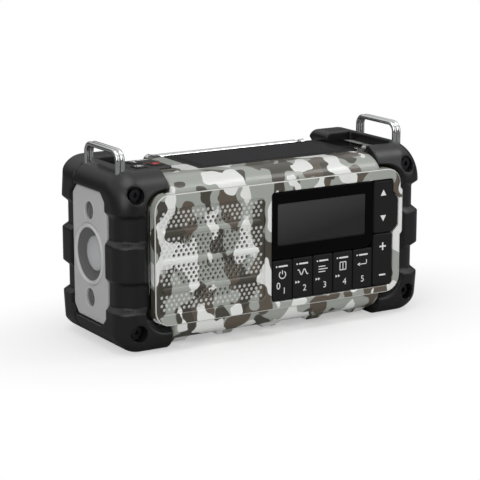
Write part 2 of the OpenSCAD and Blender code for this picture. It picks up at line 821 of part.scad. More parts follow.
module torch_reflector() {
    mouth = lens_d / 2 + 2;
    throat = 3.4;
    color("silver") translate([panel_t - x_panel + lens_sink, y_mid, z_mid]) rotate([0, 90, 0]) rotate_extrude()
        polygon([[lens_d / 2, 0], [mouth, 0], [mouth, 1.6], [throat + 3, reflector_depth],
            [throat, reflector_depth], [throat, reflector_depth - 2], [lens_d / 2 - 1.5, 2]]);
}

module torch_board() {
    x0 = panel_t - x_panel + lens_sink + reflector_depth;
    color("green") {
        rod_x(x0, x0 + 1.6, y_mid, z_mid, lens_d / 2 + 1);
        rod_x(x0 - 1.8, x0, y_mid, z_mid, 2.6);
    }
}

module side_lamps() {
    color("#303030")
        for (s = [-1, 1])
            translate([panel_t - x_panel, y_mid, z_mid + s * lamp_pitch / 2]) rotate([0, -90, 0]) rotate_extrude()
                polygon([[0, 0], [lamp_d / 2, 0], [lamp_d / 2, panel_t - 1.2], [lamp_d / 4, panel_t - 0.8],
                    [0, panel_t - 0.6]]);
}

// TOP

module solar_window() {
    color("#2b2b30") along_z(z_solar - solar_t, z_solar)
        mid_rect([solar_x, solar_y], [solar_w, solar_d] - [fit_gap, fit_gap], 2);
}

// Cells in a row on their board, with fine grooves between them
module solar_cells() {
    cells = 6;
    z0 = z_solar - solar_t - cell_t;
    pitch = (solar_w - 6) / cells;
    color("#15151c") difference() {
        along_z(z0, z0 + cell_t) mid_rect([solar_x, solar_y], [solar_w, solar_d] - [fit_gap, fit_gap], 2);
        for (i = [1:cells - 1])
            translate([solar_x - solar_w / 2 + 3 + i * pitch - 0.25, solar_y - solar_d / 2 + 3, z0 + cell_t - 0.3])
                cube([0.5, solar_d - 6, 1]);
    }
}

module charge_lamp() {
    color("white") {
        rod_z(z_top - 3, z_top - 0.2, charge_at().x, charge_at().y, 1.5);
        translate([charge_at().x, charge_at().y, z_top - 0.2]) intersection() {
            sphere(r = 1.5);
            translate([-2, -2, 0]) cube([4, 4, 2]);
        }
    }
}

module top_pad() {
    color("#2a2a2a") difference() {
        along_z(z_top - pad_t + 1, z_top + 1) mid_rect([pad_x, pad_y], [pad_w, pad_d] - [fit_gap, fit_gap], 3);
        for (b = buttons)
            along_z(z_top - pad_t, z_top + 2)
                mid_rect([pad_x + b[1], pad_y + b[2]], [button_w, button_d] + 2 * [fit_gap, fit_gap], 2);
    }
}

// A button with a stem that passes the shell
module top_button(i, tint) {
    c = [pad_x + buttons[i][1], pad_y + buttons[i][2]];
    z0 = z_top - pad_t + 1 + button_travel + fit_gap;
    color(tint) {
        along_z(z0, z_top + 1.6) mid_rect(c, [button_w, button_d], 2);
        along_z(z_top - top_wall - 1, z0) mid_rect(c, [3, 3] - 2 * [fit_gap, fit_gap], 0.4);
    }
}

module siren_button() { top_button(0, "#8c2a2a"); }
module torch_button() { top_button(1, "#333333"); }
module light_button() { top_button(2, "#333333"); }

// SPEAKER

// Places of the grille's holes: bands of lines, every other line shifted by half a pitch
function lines_in(b) = b == 0 || b == hole_bands - 1 ? band_lines : band_lines + 1;

function band_at(b) = (b - (hole_bands - 1) / 2) * band_pitch;

function hole_places() = [
    for (b = [0:hole_bands - 1], l = [0:lines_in(b) - 1])
        let (
            z = band_at(b) + (l - (lines_in(b) - 1) / 2) * line_pitch,
            shift = (l + (b == hole_bands - 1 ? 1 : 0)) % 2 == 0 ? hole_pitch / 2 : 0,
            n = floor((grille_w - 4 - shift) / hole_pitch)
        )
        for (i = [0:n - 1])
            [grille_x - grille_w / 2 + 2.6 + shift + i * hole_pitch, speaker_z + z]
];

// Middle of the gap between a band and the next one up
function ridge_at(b) = (band_at(b) + band_at(b + 1) + (lines_in(b) - lines_in(b + 1)) * line_pitch / 2) / 2;

function over_speaker(p) = norm(p - [grille_x, speaker_z]) < speaker_d / 2 - 3;

// Perforated panel: open holes over the speaker, blind ones round it, smooth ridges between the bands
module speaker_grille() {
    face = y_plate + grille_sink;
    size = [grille_w, grille_h];
    c = [grille_x, speaker_z];
    color("#cfd2cc") {
        along_y(face + dimple_depth, y_face_back) difference() {
            mid_rect(c, size, 3);
            for (p = hole_places()) if (over_speaker(p)) translate(p) circle(d = hole_d, $fn = 16);
        }
        along_y(face, face + dimple_depth) difference() {
            mid_rect(c, size, 3);
            for (p = hole_places()) translate(p) circle(d = hole_d, $fn = 16);
        }
        for (b = [0:hole_bands - 2])
            along_y(y_plate, face)
                mid_rect(c + [0, ridge_at(b)], [grille_w - 4, ridge_h], ridge_h / 2 - 0.1);
    }
}

module speaker_basket() {
    rim = speaker_d / 2;
    waist = magnet_d / 2 - 3;
    color("#3a3a3a") translate([grille_x, y_face_back, speaker_z]) rotate([-90, 0, 0]) rotate_extrude()
        polygon([[rim - 3, 0], [rim, 0], [rim, 3], [rim - 2.5, 3], [waist + 1.5, basket_depth],
            [waist - 5, basket_depth], [waist - 5, basket_depth - 1.5], [waist, basket_depth - 1.5], [rim - 4.5, 2.5]]);
}

module speaker_cone() {
    rim = speaker_d / 2 - 4.2;
    color("#4a4640") translate([grille_x, y_face_back, speaker_z]) rotate([-90, 0, 0]) rotate_extrude()
        polygon([[rim - 3, 1.4], [rim, 0.4], [rim, 1.4], [rim - 3, 2.4], [9, 8], [0, 6.5], [0, 5.5], [9, 7]]);
}

module speaker_magnet() {
    y0 = y_face_back + basket_depth;
    color("#55555a") {
        rod_y(y0, y0 + magnet_t, grille_x, speaker_z, magnet_d / 2);
        rod_y(y0 + magnet_t, y0 + magnet_t + 1.5, grille_x, speaker_z, magnet_d / 2 - 2);
    }
}

// DISPLAY AND KEYS

module display_window() {
    right = rocker_left - key_gap;
    color("#141414") along_y(y_keys, y_keys + window_t)
        corner_rect([inset_left, window_bottom], [right, inset_top], [1, 6, 2, 2]);
}

module lcd_module() {
    c = [inset_left + 3.6 + lcd_w / 2, lcd_z];
    color("#3c3c3c") along_y(y_keys + window_t, y_board) mid_rect(c, [lcd_w, lcd_h] + [3, 3], 1);
}

module key(i) {
    left = inset_left + i * key_pitch + key_gap / 2;
    radii = i == 0 ? [2, 1, 1, 1] : [1, 1, 1, 1];
    color("#262626") along_y(y_keys, y_key_back)
        corner_rect([left, key_bottom], [left + key_pitch - key_gap, key_bottom + key_h], radii);
}

module key_1() { key(0); }
module key_2() { key(1); }
module key_3() { key(2); }
module key_4() { key(3); }
module key_5() { key(4); }

module rocker_outline(z0) {
    round_rect([rocker_left, z0], [rocker_left + rocker_w, z0 + rocker_h], 1.5);
}

// Round rib across the back of a rocker, on which it tips
module rocker_rib(z0) {
    rod_x(rocker_left + 1, rocker_left + rocker_w - 1, y_key_back, z0 + rocker_h / 2, 0.8);
}

module tuning_rocker() {
    z0 = inset_z + key_gap / 2;
    color("#242424") {
        along_y(y_keys, y_key_back) {
            rocker_outline(z0);
            rest_outline(-key_gap);
        }
        rocker_rib(z0);
    }
}

module volume_rocker() {
    z0 = inset_bottom + key_gap;
    color("#242424") {
        along_y(y_keys, y_key_back) rocker_outline(z0);
        rocker_rib(z0);
    }
}

// Silicone mat with a dome under every key and a ridge under each rocker
module key_mat() {
    color("#6a6a6a") {
        along_y(y_mat + dome_h, y_board) difference() {
            round_rect([inset_left, inset_bottom], [inset_right, inset_top], 1.5);
            round_rect([inset_left - 1, window_bottom + 1], [rocker_left - 1, inset_top + 1], 0.5);
        }
        for (i = [0:key_count - 1])
            rod_y(y_mat, y_mat + dome_h, inset_left + (i + 0.5) * key_pitch, key_bottom + key_h / 2, 3.5);
        for (z = [inset_bottom + key_gap, inset_z + key_gap / 2])
            rod_y(y_mat, y_mat + dome_h, rocker_left + rocker_w / 2, z + rocker_h / 2, 2);
    }
}

module main_board() {
    color("#1f5a34") along_y(y_board, y_board + board_t)
        round_rect([inset_left - 2, inset_bottom + 1], [inset_right - 2, inset_top - 1], 3);
}

// CRANK AND GENERATOR

// Polar angle, in degrees, gained along an involute at radius r
function involute(base, r) = let (a = acos(min(1, base / r))) tan(a) * 180 / PI - a;

// Outline of a gear with stub involute teeth, first tooth along +X
function gear_points(teeth) =
    let (
        pitch = pitch_r * teeth,
        tip = pitch + 0.8 * gear_module,
        root = pitch - 1.1 * gear_module,
        base = pitch * cos(20),
        start = max(base, root),
        half = 90 / teeth - backlash / 4 / pitch * 180 / PI + involute(base, pitch),
        steps = 4,
        radii = [for (k = [0:steps]) start + (tip - start) * k / steps]
    )
    [for (i = [0:teeth - 1])
        let (c = 360 * i / teeth)
        each concat(
            [root * [cos(c - half), sin(c - half)]],
            [for (k = [0:steps])
                let (a = c - half + involute(base, radii[k])) radii[k] * [cos(a), sin(a)]],
            [for (k = [steps:-1:0])
                let (a = c + half - involute(base, radii[k])) radii[k] * [cos(a), sin(a)]],
            [root * [cos(c + half), sin(c + half)]]
        )];

module gear_outline(teeth, x, z, turn) {
    translate([x, z]) rotate(turn) polygon(gear_points(teeth));
}

module crank_shaft() {
    color("silver") rod_y(y_gear_plate, y_arm + arm_t / 2, crank_x, crank_z, shaft_d / 2);
}

module crank_bush() {
    color("#b08d57") difference() {
        rod_y(y_wall - 3, y_rear, crank_x, crank_z, bush_r);
        rod_y(y_wall - 4, y_rear + 1, crank_x, crank_z, shaft_d / 2 + run_gap);
    }
}

// Arm with a round hub, a slot that the knob folds into, and a recess for the screw
module crank_arm() {
    tip = crank_x - arm_tip;
    color("#2f2f2f") difference() {
        union() {
            along_y(y_arm, y_arm + arm_t)
                round_rect([tip, crank_z - arm_w / 2], [crank_x, crank_z + arm_w / 2], arm_w / 2 - 0.5);
            rod_y(y_arm, y_arm + arm_t, crank_x, crank_z, hub_r);
        }
        along_y(y_arm - 1, y_arm + arm_t + 1)
            round_rect([crank_x - crank_l - 4.6, crank_z - slot_w / 2], [crank_x - hub_r + 0.4, crank_z + slot_w / 2], 1);
        rod_y(y_arm - 1, y_arm + arm_t / 2, crank_x, crank_z, shaft_d / 2);
        rod_y(y_arm + arm_t / 2, y_arm + arm_t + 1, crank_x, crank_z, 1.5);
        rod_y(y_arm + arm_t - 2.4, y_arm + arm_t + 1, crank_x, crank_z, 4);
        rod_z(crank_z - arm_w, crank_z + arm_w, crank_x - crank_l, y_knob, hinge_d / 2);
    }
}

module crank_screw() {
    color("silver") {
        difference() {
            rod_y(y_arm + arm_t - 2.4, y_arm + arm_t - 0.6, crank_x, crank_z, 3.6);
            translate([crank_x, y_arm + arm_t - 1.6, crank_z]) rotate([-90, 0, 0]) cylinder(d = 3, h = 2, $fn = 6);
        }
        rod_y(y_arm + arm_t / 2, y_arm + arm_t - 2.4, crank_x, crank_z, 1.5);
    }
}

module drive_gear() {
    color("#d8d4c4") difference() {
        along_y(y_drive, y_drive + gear_t) gear_outline(drive_teeth, crank_x, crank_z, idler_angle);
        rod_y(y_drive - 1, y_drive + gear_t + 1, crank_x, crank_z, shaft_d / 2);
        for (a = [30:60:330])
            rod_y(y_drive - 1, y_drive + gear_t + 1, crank_x + 13.5 * cos(a), crank_z + 13.5 * sin(a), 4.5);
    }
}

// Pinion and wheel in one piece, in mesh with the drive gear and the rotor
module idler_gear() {
    color("#d8d4c4") difference() {
        union() {
            along_y(y_idler, y_idler + gear_t) gear_outline(idler_teeth, idler_x, idler_z, rotor_angle);
            along_y(y_idler + gear_t, y_drive + gear_t + 0.5)
                gear_outline(idler_pinion_teeth, idler_x, idler_z, idler_angle + 180 + 180 / idler_pinion_teeth);
        }
        rod_y(y_idler - 1, y_drive + gear_t + 2, idler_x, idler_z, axle_d / 2 + run_gap);
        for (a = [30:60:330])
            rod_y(y_idler - 1, y_idler + gear_t + 0.01, idler_x + 12.5 * cos(a), idler_z + 12.5 * sin(a), 3.5);
    }
}

module idler_axle() {
    color("silver") rod_y(y_gear_plate, y_wall + wall / 2, idler_x, idler_z, axle_d / 2);
}

module generator_rotor() {
    y0 = y_gear_plate - generator_l;
    color("#8a8a90") {
        along_y(y_idler - 0.5, y_idler + gear_t + 0.5)
            gear_outline(rotor_teeth, rotor_x, rotor_z, rotor_angle + 180 + 180 / rotor_teeth);
        rod_y(y0 + 2, y_idler - 0.5, rotor_x, rotor_z, rotor_shaft_d / 2);
        rod_y(y0 + 3, y_gear_plate - 2.5, rotor_x, rotor_z, generator_d / 2 - 6);
    }
}

// Drum that holds the windings round the rotor, closed by its own end plate
module generator_case() {
    y0 = y_gear_plate - generator_l;
    color("#7c7f86") difference() {
        rod_y(y0, y_gear_plate, rotor_x, rotor_z, generator_d / 2);
        rod_y(y0 + 2.5, y_gear_plate - 2, rotor_x, rotor_z, generator_d / 2 - 5.5);
        rod_y(y0 + 1.8, y_gear_plate + 1, rotor_x, rotor_z, rotor_shaft_d / 2 + run_gap);
    }
}

module gearbox_plate() {
    p0 = posts[0];
    p1 = posts[3];
    color("#b9bcc2") difference() {
        along_y(y_gear_plate, y_gear_plate + plate_gear_t)
            round_rect(p0 - [4, 4], p1 + [4, 4], 4);
        rod_y(y_gear_plate - 1, y_gear_plate + plate_gear_t + 1, crank_x, crank_z, shaft_d / 2 + run_gap);
        rod_y(y_gear_plate - 1, y_gear_plate + plate_gear_t + 1, idler_x, idler_z, axle_d / 2);
        rod_y(y_gear_plate - 1, y_gear_plate + plate_gear_t + 1, rotor_x, rotor_z, rotor_shaft_d / 2 + 0.6);
    }
}

module knob_pin() {
    color("silver") rod_z(crank_z - arm_w / 2 + 0.6, crank_z + arm_w / 2 - 0.6, crank_x - crank_l, y_knob, hinge_d / 2);
}

// Hinge eye with the post that carries the knob; the post's head keeps the knob on
module knob_fork() {
    x0 = crank_x - crank_l;
    post_end = x0 + 4.6 + knob_l + 0.3;
    color("#8d8d90") difference() {
        union() {
            rod_z(crank_z - slot_w / 2 + fit_gap, crank_z + slot_w / 2 - fit_gap, x0, y_knob, 4);
            rod_x(x0, post_end, y_knob, crank_z, post_d / 2);
            rod_x(post_end, post_end + 1, y_knob, crank_z, post_d / 2 + 1.2);
        }
        rod_z(crank_z - slot_w, crank_z + slot_w, x0, y_knob, hinge_d / 2 + run_gap);
    }
}

// Grip with a waist, revolved about its post
module crank_knob() {
    r = knob_d / 2;
    bore = post_d / 2 + run_gap;
    color("#262626") translate([crank_x - crank_l + 4.45, y_knob, crank_z]) rotate([0, 90, 0]) rotate_extrude()
        polygon([[bore, 0], [r - 0.8, 0], [r, 1], [r - 0.5, knob_l / 2], [r, knob_l - 1], [r - 0.8, knob_l], [bore, knob_l]]);
}

// ANTENNA

// Swivel post with a flat cheek that carries the pivot
module antenna_base() {
    cheek = 2.4;
    y_cheek = y_antenna - antenna_d / 2 - fit_gap - cheek;
    color("silver") {
        rod_z(base_z - 4, base_z + fit_gap, antenna_x, y_swivel, 2);
        rod_z(base_z + fit_gap, plate_top, antenna_x, y_swivel, swivel_r);
        intersection() {
            rod_z(plate_top, antenna_z + knuckle_r, antenna_x, y_swivel, swivel_r);
            translate([antenna_x - knuckle_r, y_swivel - swivel_r, plate_top - 1])
                cube([2 * knuckle_r, y_cheek + cheek - y_swivel + swivel_r, 20]);
        }
        rod_y(y_cheek, y_antenna + antenna_d / 2, antenna_x, antenna_z, 1.2);
    }
}

// Flattened knuckle and the outer tube
module antenna_mast() {
    r = antenna_d / 2;
    tube_x0 = antenna_x + knuckle_r;
    color("silver") difference() {
        union() {
            rod_y(y_antenna - r + 0.3, y_antenna + r - 0.3, antenna_x, antenna_z, knuckle_r);
            rod_x(antenna_x, antenna_x + antenna_l, y_antenna, antenna_z, r);
        }
        rod_x(tube_x0 + 3, antenna_x + antenna_l + 1, y_antenna, antenna_z, r - tube_wall);
        rod_y(y_antenna - r - 1, y_antenna + r + 1, antenna_x, antenna_z, 1.2 + run_gap);
    }
}

module antenna_tube() {
    r = antenna_d / 2 - tube_wall - run_gap;
    x0 = antenna_x + knuckle_r + 4;
    x1 = antenna_x + antenna_l + tube_step;
    color("silver") difference() {
        rod_x(x0, x1, y_antenna, antenna_z, r);
        rod_x(x0 + 2, x1 + 1, y_antenna, antenna_z, r - tube_wall);
    }
}

module antenna_tip() {
    r = antenna_d / 2 - 2 * tube_wall - 2 * run_gap;
    x0 = antenna_x + knuckle_r + 7;
    x1 = antenna_x + antenna_l + 2 * tube_step;
    color("silver") {
        rod_x(x0, x1, y_antenna, antenna_z, r);
        translate([x1, y_antenna, antenna_z]) rotate([0, 90, 0]) rotate_extrude()
            polygon([[0, 0], [antenna_d / 2 - 0.6, 0], [antenna_d / 2, 0.6], [antenna_d / 2, tip_l - 0.8],
                [antenna_d / 2 - 0.8, tip_l], [0, tip_l]]);
    }
}

// BATTERY

module battery_cells() {
    y = bay_floor + 0.3 + cell_d / 2;
    z0 = speaker_z - cell_l / 2;
    color("#b0b4b8")
        for (i = [-1:1]) {
            x = battery_x + i * cell_pitch;
            rod_z(z0, z0 + cell_l - 1.2, x, y, cell_d / 2);
            rod_z(z0 + cell_l - 1.2, z0 + cell_l, x, y, 2.6);
        }
}

module battery_door() {
    color("lightgray") difference() {
        along_y(y_rear_plate - door_t, y_rear_plate)
            mid_rect([battery_x, speaker_z], [bay_w, bay_h] + [5, 5] - [fit_gap, fit_gap], 3);
        for (i = [0:3])
            along_y(y_rear_plate - 0.8, y_rear_plate + 1)
                mid_rect([battery_x, speaker_z + bay_h / 2 - 4 - 2.4 * i], [18, 1.2], 0.5);
    }
}

// PORT

// End panel with the socket cut-outs, a recess for the flap and two ears for its hinge
module right_panel() {
    hinge_z = flap_z + flap_h / 2;
    x0 = x_panel - panel_t;
    color("#a5a5a5") difference() {
        along_x(x0, x_panel) cut_rect([y_mid, z_mid], [window_w, window_h] - [2, 2] * fit_gap, window_cut);
        along_x(x_panel - flap_t - fit_gap, x_panel + 1)
            round_rect([y_flap - flap_w / 2 - fit_gap, flap_z - flap_h / 2 - 3],
                [y_flap + flap_w / 2 + fit_gap, hinge_z + flap_hinge_r + fit_gap], flap_corner);
        rod_y(y_flap - flap_w / 2 - 2.5, y_flap + flap_w / 2 + 2.5, x_panel - flap_t / 2, hinge_z, 0.8 + run_gap);
        along_x(x0 - 1, x_panel + 1) socket_outlines();
    }
}

// Cut-outs for a wide socket, a flat socket and the earphone jack
module socket_outlines() {
    mid_rect([y_flap, flap_z + 8], [14, 6.4], 0.6);
    mid_rect([y_flap, flap_z], [9.4, 3.6], 1.7);
    translate([y_flap, flap_z - 8]) circle(d = jack_d + 2.4);
}

module port_flap() {
    hinge_z = flap_z + flap_h / 2;
    x_axis = x_panel - flap_t / 2;
    color("#262626") {
        along_x(x_panel - flap_t + 0.1, x_panel)
            round_rect([y_flap - flap_w / 2, flap_z - flap_h / 2], [y_flap + flap_w / 2, hinge_z], 0.8);
        rod_y(y_flap - flap_w / 2 - 2, y_flap + flap_w / 2 + 2, x_axis, hinge_z, 0.8);
    }
}

// Sockets on their small board
module port_block() {
    x0 = x_panel - panel_t;
    depth = 12;
    board_x = stub_x - wall - depth;
    color("#9a9ca0") difference() {
        union() {
            along_x(board_x, x0 + 0.8) {
                mid_rect([y_flap, flap_z + 8], [13.4, 5.8], 0.4);
                mid_rect([y_flap, flap_z], [8.8, 3], 1.4);
                translate([y_flap, flap_z - 8]) circle(d = jack_d + 1.8);
            }
            along_x(board_x - 1.6, board_x) mid_rect([y_flap, flap_z], [20, 25], 1);
        }
        along_x(board_x + 2, x0 + 2) {
            difference() {
                mid_rect([y_flap, flap_z + 8], [12.4, 4.8], 0.3);
                mid_rect([y_flap, flap_z + 9], [11, 1.8], 0.1);
            }
            difference() {
                mid_rect([y_flap, flap_z], [8, 2.2], 1);
                mid_rect([y_flap, flap_z], [6.4, 0.7], 0.1);
            }
        }
        rod_x(board_x + 1, x0 + 2, y_flap, flap_z - 8, jack_d / 2);
    }
}

front_shell();
rear_shell();
shell_gasket();
left_bumper_front();
left_bumper_rear();
right_bumper_front();
right_bumper_rear();
bumper_screws();
torch_panel();
torch_bezel();
torch_lens();
torch_reflector();
torch_board();
side_lamps();
left_bail();
right_bail();
solar_window();
solar_cells();
charge_lamp();
top_pad();
siren_button();
torch_button();
light_button();
speaker_grille();
speaker_basket();
speaker_cone();
speaker_magnet();
display_window();
lcd_module();
key_1();
key_2();
key_3();
key_4();
key_5();
tuning_rocker();
volume_rocker();
key_mat();
main_board();
crank_arm();
crank_shaft();
crank_screw();
crank_bush();
drive_gear();
idler_gear();
idler_axle();
generator_case();
generator_rotor();
gearbox_plate();
knob_pin();
knob_fork();
crank_knob();
antenna_base();
antenna_mast();
antenna_tube();
antenna_tip();
battery_cells();
battery_door();
right_panel();
port_flap();
port_block();
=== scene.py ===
# %% [markdown]
# # A hand crank radio, dressed for the camera
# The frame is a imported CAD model: every piece sits at its real size and place. This lesson gives each
# visible piece a finished surface. Shapes are worked out as numpy arrays in millimetres, and only the
# last step, which fills a Blender mesh, turns them into metres.

# %% Load the frame
import functools
import itertools
import math

import bpy
import numpy as np
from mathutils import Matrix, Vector
from mathutils.geometry import delaunay_2d_cdt


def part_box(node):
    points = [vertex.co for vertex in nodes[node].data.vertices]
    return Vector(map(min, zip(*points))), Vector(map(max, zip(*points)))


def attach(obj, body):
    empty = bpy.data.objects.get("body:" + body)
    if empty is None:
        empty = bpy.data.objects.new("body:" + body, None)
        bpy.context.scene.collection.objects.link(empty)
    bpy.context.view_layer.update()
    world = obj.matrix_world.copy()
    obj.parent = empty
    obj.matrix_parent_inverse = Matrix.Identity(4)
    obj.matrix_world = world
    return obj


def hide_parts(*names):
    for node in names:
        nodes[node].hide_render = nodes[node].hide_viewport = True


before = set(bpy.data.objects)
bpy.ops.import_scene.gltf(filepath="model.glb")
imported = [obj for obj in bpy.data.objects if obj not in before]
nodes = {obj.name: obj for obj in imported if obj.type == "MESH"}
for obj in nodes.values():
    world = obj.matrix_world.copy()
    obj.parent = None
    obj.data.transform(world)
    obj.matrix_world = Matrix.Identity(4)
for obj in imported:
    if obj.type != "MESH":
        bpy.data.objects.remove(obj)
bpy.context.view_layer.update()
print("nodes in the frame:", len(nodes))


def node_box(name):
    """Lowest and highest corner of a CAD node, in millimetres."""
    lo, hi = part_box(name)
    return np.array(lo) * 1000, np.array(hi) * 1000


def linked(name, data):
    """A new scene object for a mesh, a lamp, a camera or a text curve."""
    obj = bpy.data.objects.new(name, data)
    bpy.context.scene.collection.objects.link(obj)
    return obj


def aimed(obj, at, ahead):
    """Places a camera or lamp and turns it to look along a direction."""
    obj.location = at
    obj.rotation_euler = ahead.to_track_quat("-Z", "Y").to_euler()
    return obj


# %% [markdown]
# ## Camera
# The photograph was taken from the left and a little above with a long lens. The camera's place and
# lens come from matching the radio's straight edges, so the render can be laid over the photograph.

# %% Camera
camera_at = Vector((-0.52666, -0.85987, 0.27682))
camera_ahead = Vector((0.50698, 0.83244, -0.22366))
camera_data = bpy.data.cameras.new("photo_camera")
camera_data.lens, camera_data.sensor_width = 137.8, 36.0
bpy.context.scene.camera = aimed(linked("photo_camera", camera_data), camera_at, camera_ahead)
bpy.context.scene.view_settings.view_transform = "Standard"
print("camera with a lens of", round(camera_data.lens, 1), "mm")

# %% [markdown]
# ## From arrays to pieces
# Every new piece passes through one function. It takes points in millimetres and faces as arrays of
# indices, makes the mesh, marks sharp edges by angle, and lets the piece ride on its CAD body.

# %% Meshes from arrays
finish = {}  # each material by its name, filled below
sharp_angle = 38.0


def merge(*parts):
    """Several (points, faces) pairs as one pair; the faces keep counting on."""
    points, faces, start = [], [], 0
    for p, f in parts:
        points.append(np.asarray(p, float))
        faces.extend([tuple(int(i) + start for i in face) for face in f])
        start += len(p)
    return np.concatenate(points), faces


def piece(name, shape, material, replaces=None, *, body="radio"):
    """A Blender object from (points in mm, faces), riding on a body and standing for a CAD node."""
    points, faces = shape
    mesh = bpy.data.meshes.new(name)
    mesh.from_pydata((np.asarray(points) / 1000).tolist(), [], [tuple(map(int, f)) for f in faces])
    mesh.validate()
    mesh.polygons.foreach_set("use_smooth", np.ones(len(mesh.polygons), bool))
    mesh.set_sharp_from_angle(angle=math.radians(sharp_angle))
    mesh.update()
    obj = linked(name, mesh)
    obj.data.materials.append(finish[material])
    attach(obj, body)
    if replaces:
        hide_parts(replaces)


# %% [markdown]
# ## Flat outlines
# Keys, panels and plates start as flat outlines. A polygon with a radius at each corner covers all of
# them: straight runs joined by arcs.

# %% Outlines
def unit(v):
    """Vectors along the last axis, brought to length one."""
    return v / np.linalg.norm(v, axis=-1, keepdims=True)


def around(steps):
    """Angles evenly spread over a full turn."""
    return np.linspace(0, 2 * math.pi, steps, endpoint=False)


def on_circle(angle):
    """Points on the unit circle: cosine and sine of each angle."""
    return np.stack([np.cos(angle), np.sin(angle)], -1)


def arc(centre, r, start, end, steps=20):
    """Points on an arc, angles in degrees."""
    return np.asarray(centre) + r * on_circle(np.radians(np.linspace(start, end, steps)))


def disc(centre, r, steps=32):
    """Circle as an outline."""
    return np.asarray(centre) + r * on_circle(around(steps))


def rounded(corners, radii, steps=6):
    """Polygon with its corners replaced by arcs of the given radii, counter-clockwise."""
    corners = np.asarray(corners, float)
    radii = np.broadcast_to(radii, len(corners))
    out = []
    for before, c, after, r in zip(np.roll(corners, 1, 0), corners, np.roll(corners, -1, 0), radii):
        a, b = unit(before - c), unit(after - c)
        half = math.acos(a @ b) / 2
        reach = r / math.tan(half)
        middle = c + unit(a + b) * r / math.sin(half)
        start, end = c + a * reach - middle, c + b * reach - middle
        a0 = math.atan2(start[1], start[0])
        turn = (math.atan2(end[1], end[0]) - a0 + math.pi) % (2 * math.pi) - math.pi
        out.append(middle + r * on_circle(a0 + turn * np.linspace(0, 1, steps + 1)))
    return np.concatenate(out)


def rectangle(lo, hi, r, steps=6):
    """Rectangle between two corners, with one radius or four: low-low, high-low, high-high, low-high."""
    return rounded([lo, (hi[0], lo[1]), hi, (lo[0], hi[1])], r, steps)


def grown(outline, by):
    """The outline moved outwards along its corner normals; a negative distance shrinks it."""
    ahead = unit(np.roll(outline, -1, 0) - outline)
    n1 = np.stack([ahead[:, 1], -ahead[:, 0]], 1)
    n0 = np.roll(n1, 1, 0)
    return outline + (n0 + n1) / (1 + np.sum(n0 * n1, 1))[:, None] * by


# %% [markdown]
# ## Slabs
# A moulded plate is its outline carried through a few levels: the front face, a rounded edge, the side
# and the back. Holes get the same rounded edge the other way round. The flat faces between outline and
# holes are filled by a constrained triangulation, from which the triangles inside a hole are taken out.

# %% Slabs
def grid_quads(rows, columns, loop=False):
    """Quads of a grid of points that closes round its columns and, as a loop, from the last row to the first."""
    i, j = np.meshgrid(np.arange(rows if loop else rows - 1), np.arange(columns), indexing="ij")
    k, l = (i + 1) % rows, (j + 1) % columns
    return np.stack([i * columns + j, i * columns + l, k * columns + l, k * columns + j], -1).reshape(-1, 4)


def holds(outline, point):
    """Whether a point lies inside an outline: a ray from it crosses the outline an odd number of times."""
    a, b = outline - point, np.roll(outline, -1, 0) - point
    crossing = (a[:, 1] > 0) != (b[:, 1] > 0)
    rise = np.where(crossing, b[:, 1] - a[:, 1], 1)
    return np.sum(crossing & (a[:, 0] - a[:, 1] * (b[:, 0] - a[:, 0]) / rise > 0)) % 2 == 1


def fill(outlines, depth):
    """Flat triangles between an outer outline and its holes, at one depth, facing forwards."""
    counts = [len(o) for o in outlines]
    loop_of, ends = np.repeat(np.arange(len(outlines)), counts), np.cumsum(counts)
    edges = [(i, i + 1 if i + 1 < e else s) for s, e in zip(ends - counts, ends) for i in range(s, e)]
    corners = [Vector(p) for p in np.concatenate(outlines)]
    verts, _, tris, source, _, _ = delaunay_2d_cdt(corners, edges, [], 1, 1e-6)
    flat = np.array([(v[0], v[1], depth) for v in verts])
    tris = np.array(tris)
    loop = loop_of[[s[0] if s else 0 for s in source]][tris]
    inner = (loop[:, 0] == loop[:, 1]) & (loop[:, 1] == loop[:, 2]) & (loop[:, 0] > 0)
    for n in np.flatnonzero(inner):
        inner[n] = holds(outlines[loop[n, 0]], flat[tris[n], :2].mean(0))
    tris = tris[~inner]
    a, b, c = (flat[tris[:, k], :2] for k in range(3))
    area = (b[:, 0] - a[:, 0]) * (c[:, 1] - a[:, 1]) - (b[:, 1] - a[:, 1]) * (c[:, 0] - a[:, 0])
    tris[area < 0] = tris[area < 0][:, ::-1]
    return flat, tris


def slab(outline, back, front, edge=0.4, holes=(), hole_edge=0.25, steps=3, back_edge=0.15):
    """Plate between two depths. Edge levels follow a quarter circle: inset r(1 - sin t), drop r(1 - cos t)."""
    t = np.linspace(0, math.pi / 2, steps + 1)
    ends = t[::steps]
    parts, fronts, backs = [], [], []
    for loop, r, rb, sign in [(outline, edge, back_edge, 1)] + [(h, hole_edge, 0.05, -1) for h in holes]:
        insets = np.concatenate([r * (1 - np.sin(t)), rb * (1 - np.cos(ends))])
        depths = np.concatenate([front - r * (1 - np.cos(t)), back + rb * (1 - np.sin(ends))])
        rings = [grown(loop, -sign * inset) for inset in insets]
        points = np.column_stack([np.concatenate(rings), np.repeat(depths, len(loop))])
        faces = grid_quads(len(rings), len(loop))[:, [0, 3, 2, 1]]
        parts.append((points, faces if sign > 0 else faces[:, ::-1]))
        fronts.append(rings[0])
        backs.append(rings[-1])
    (flat, tris), (under, tris_under) = fill(fronts, front), fill(backs, back)
    return merge(*parts, (flat, tris), (under, tris_under[:, ::-1]))


# Each view direction maps the slab's (across, up, out) to the radio's X, Y and Z without mirroring it.
FACING = {
    "front": np.array([[1, 0, 0], [0, 0, -1], [0, 1, 0]]),
    "back": np.array([[-1, 0, 0], [0, 0, 1], [0, 1, 0]]),
    "left": np.array([[0, 0, -1], [-1, 0, 0], [0, 1, 0]]),
    "right": np.array([[0, 0, 1], [1, 0, 0], [0, 1, 0]]),
    "top": np.eye(3),
}


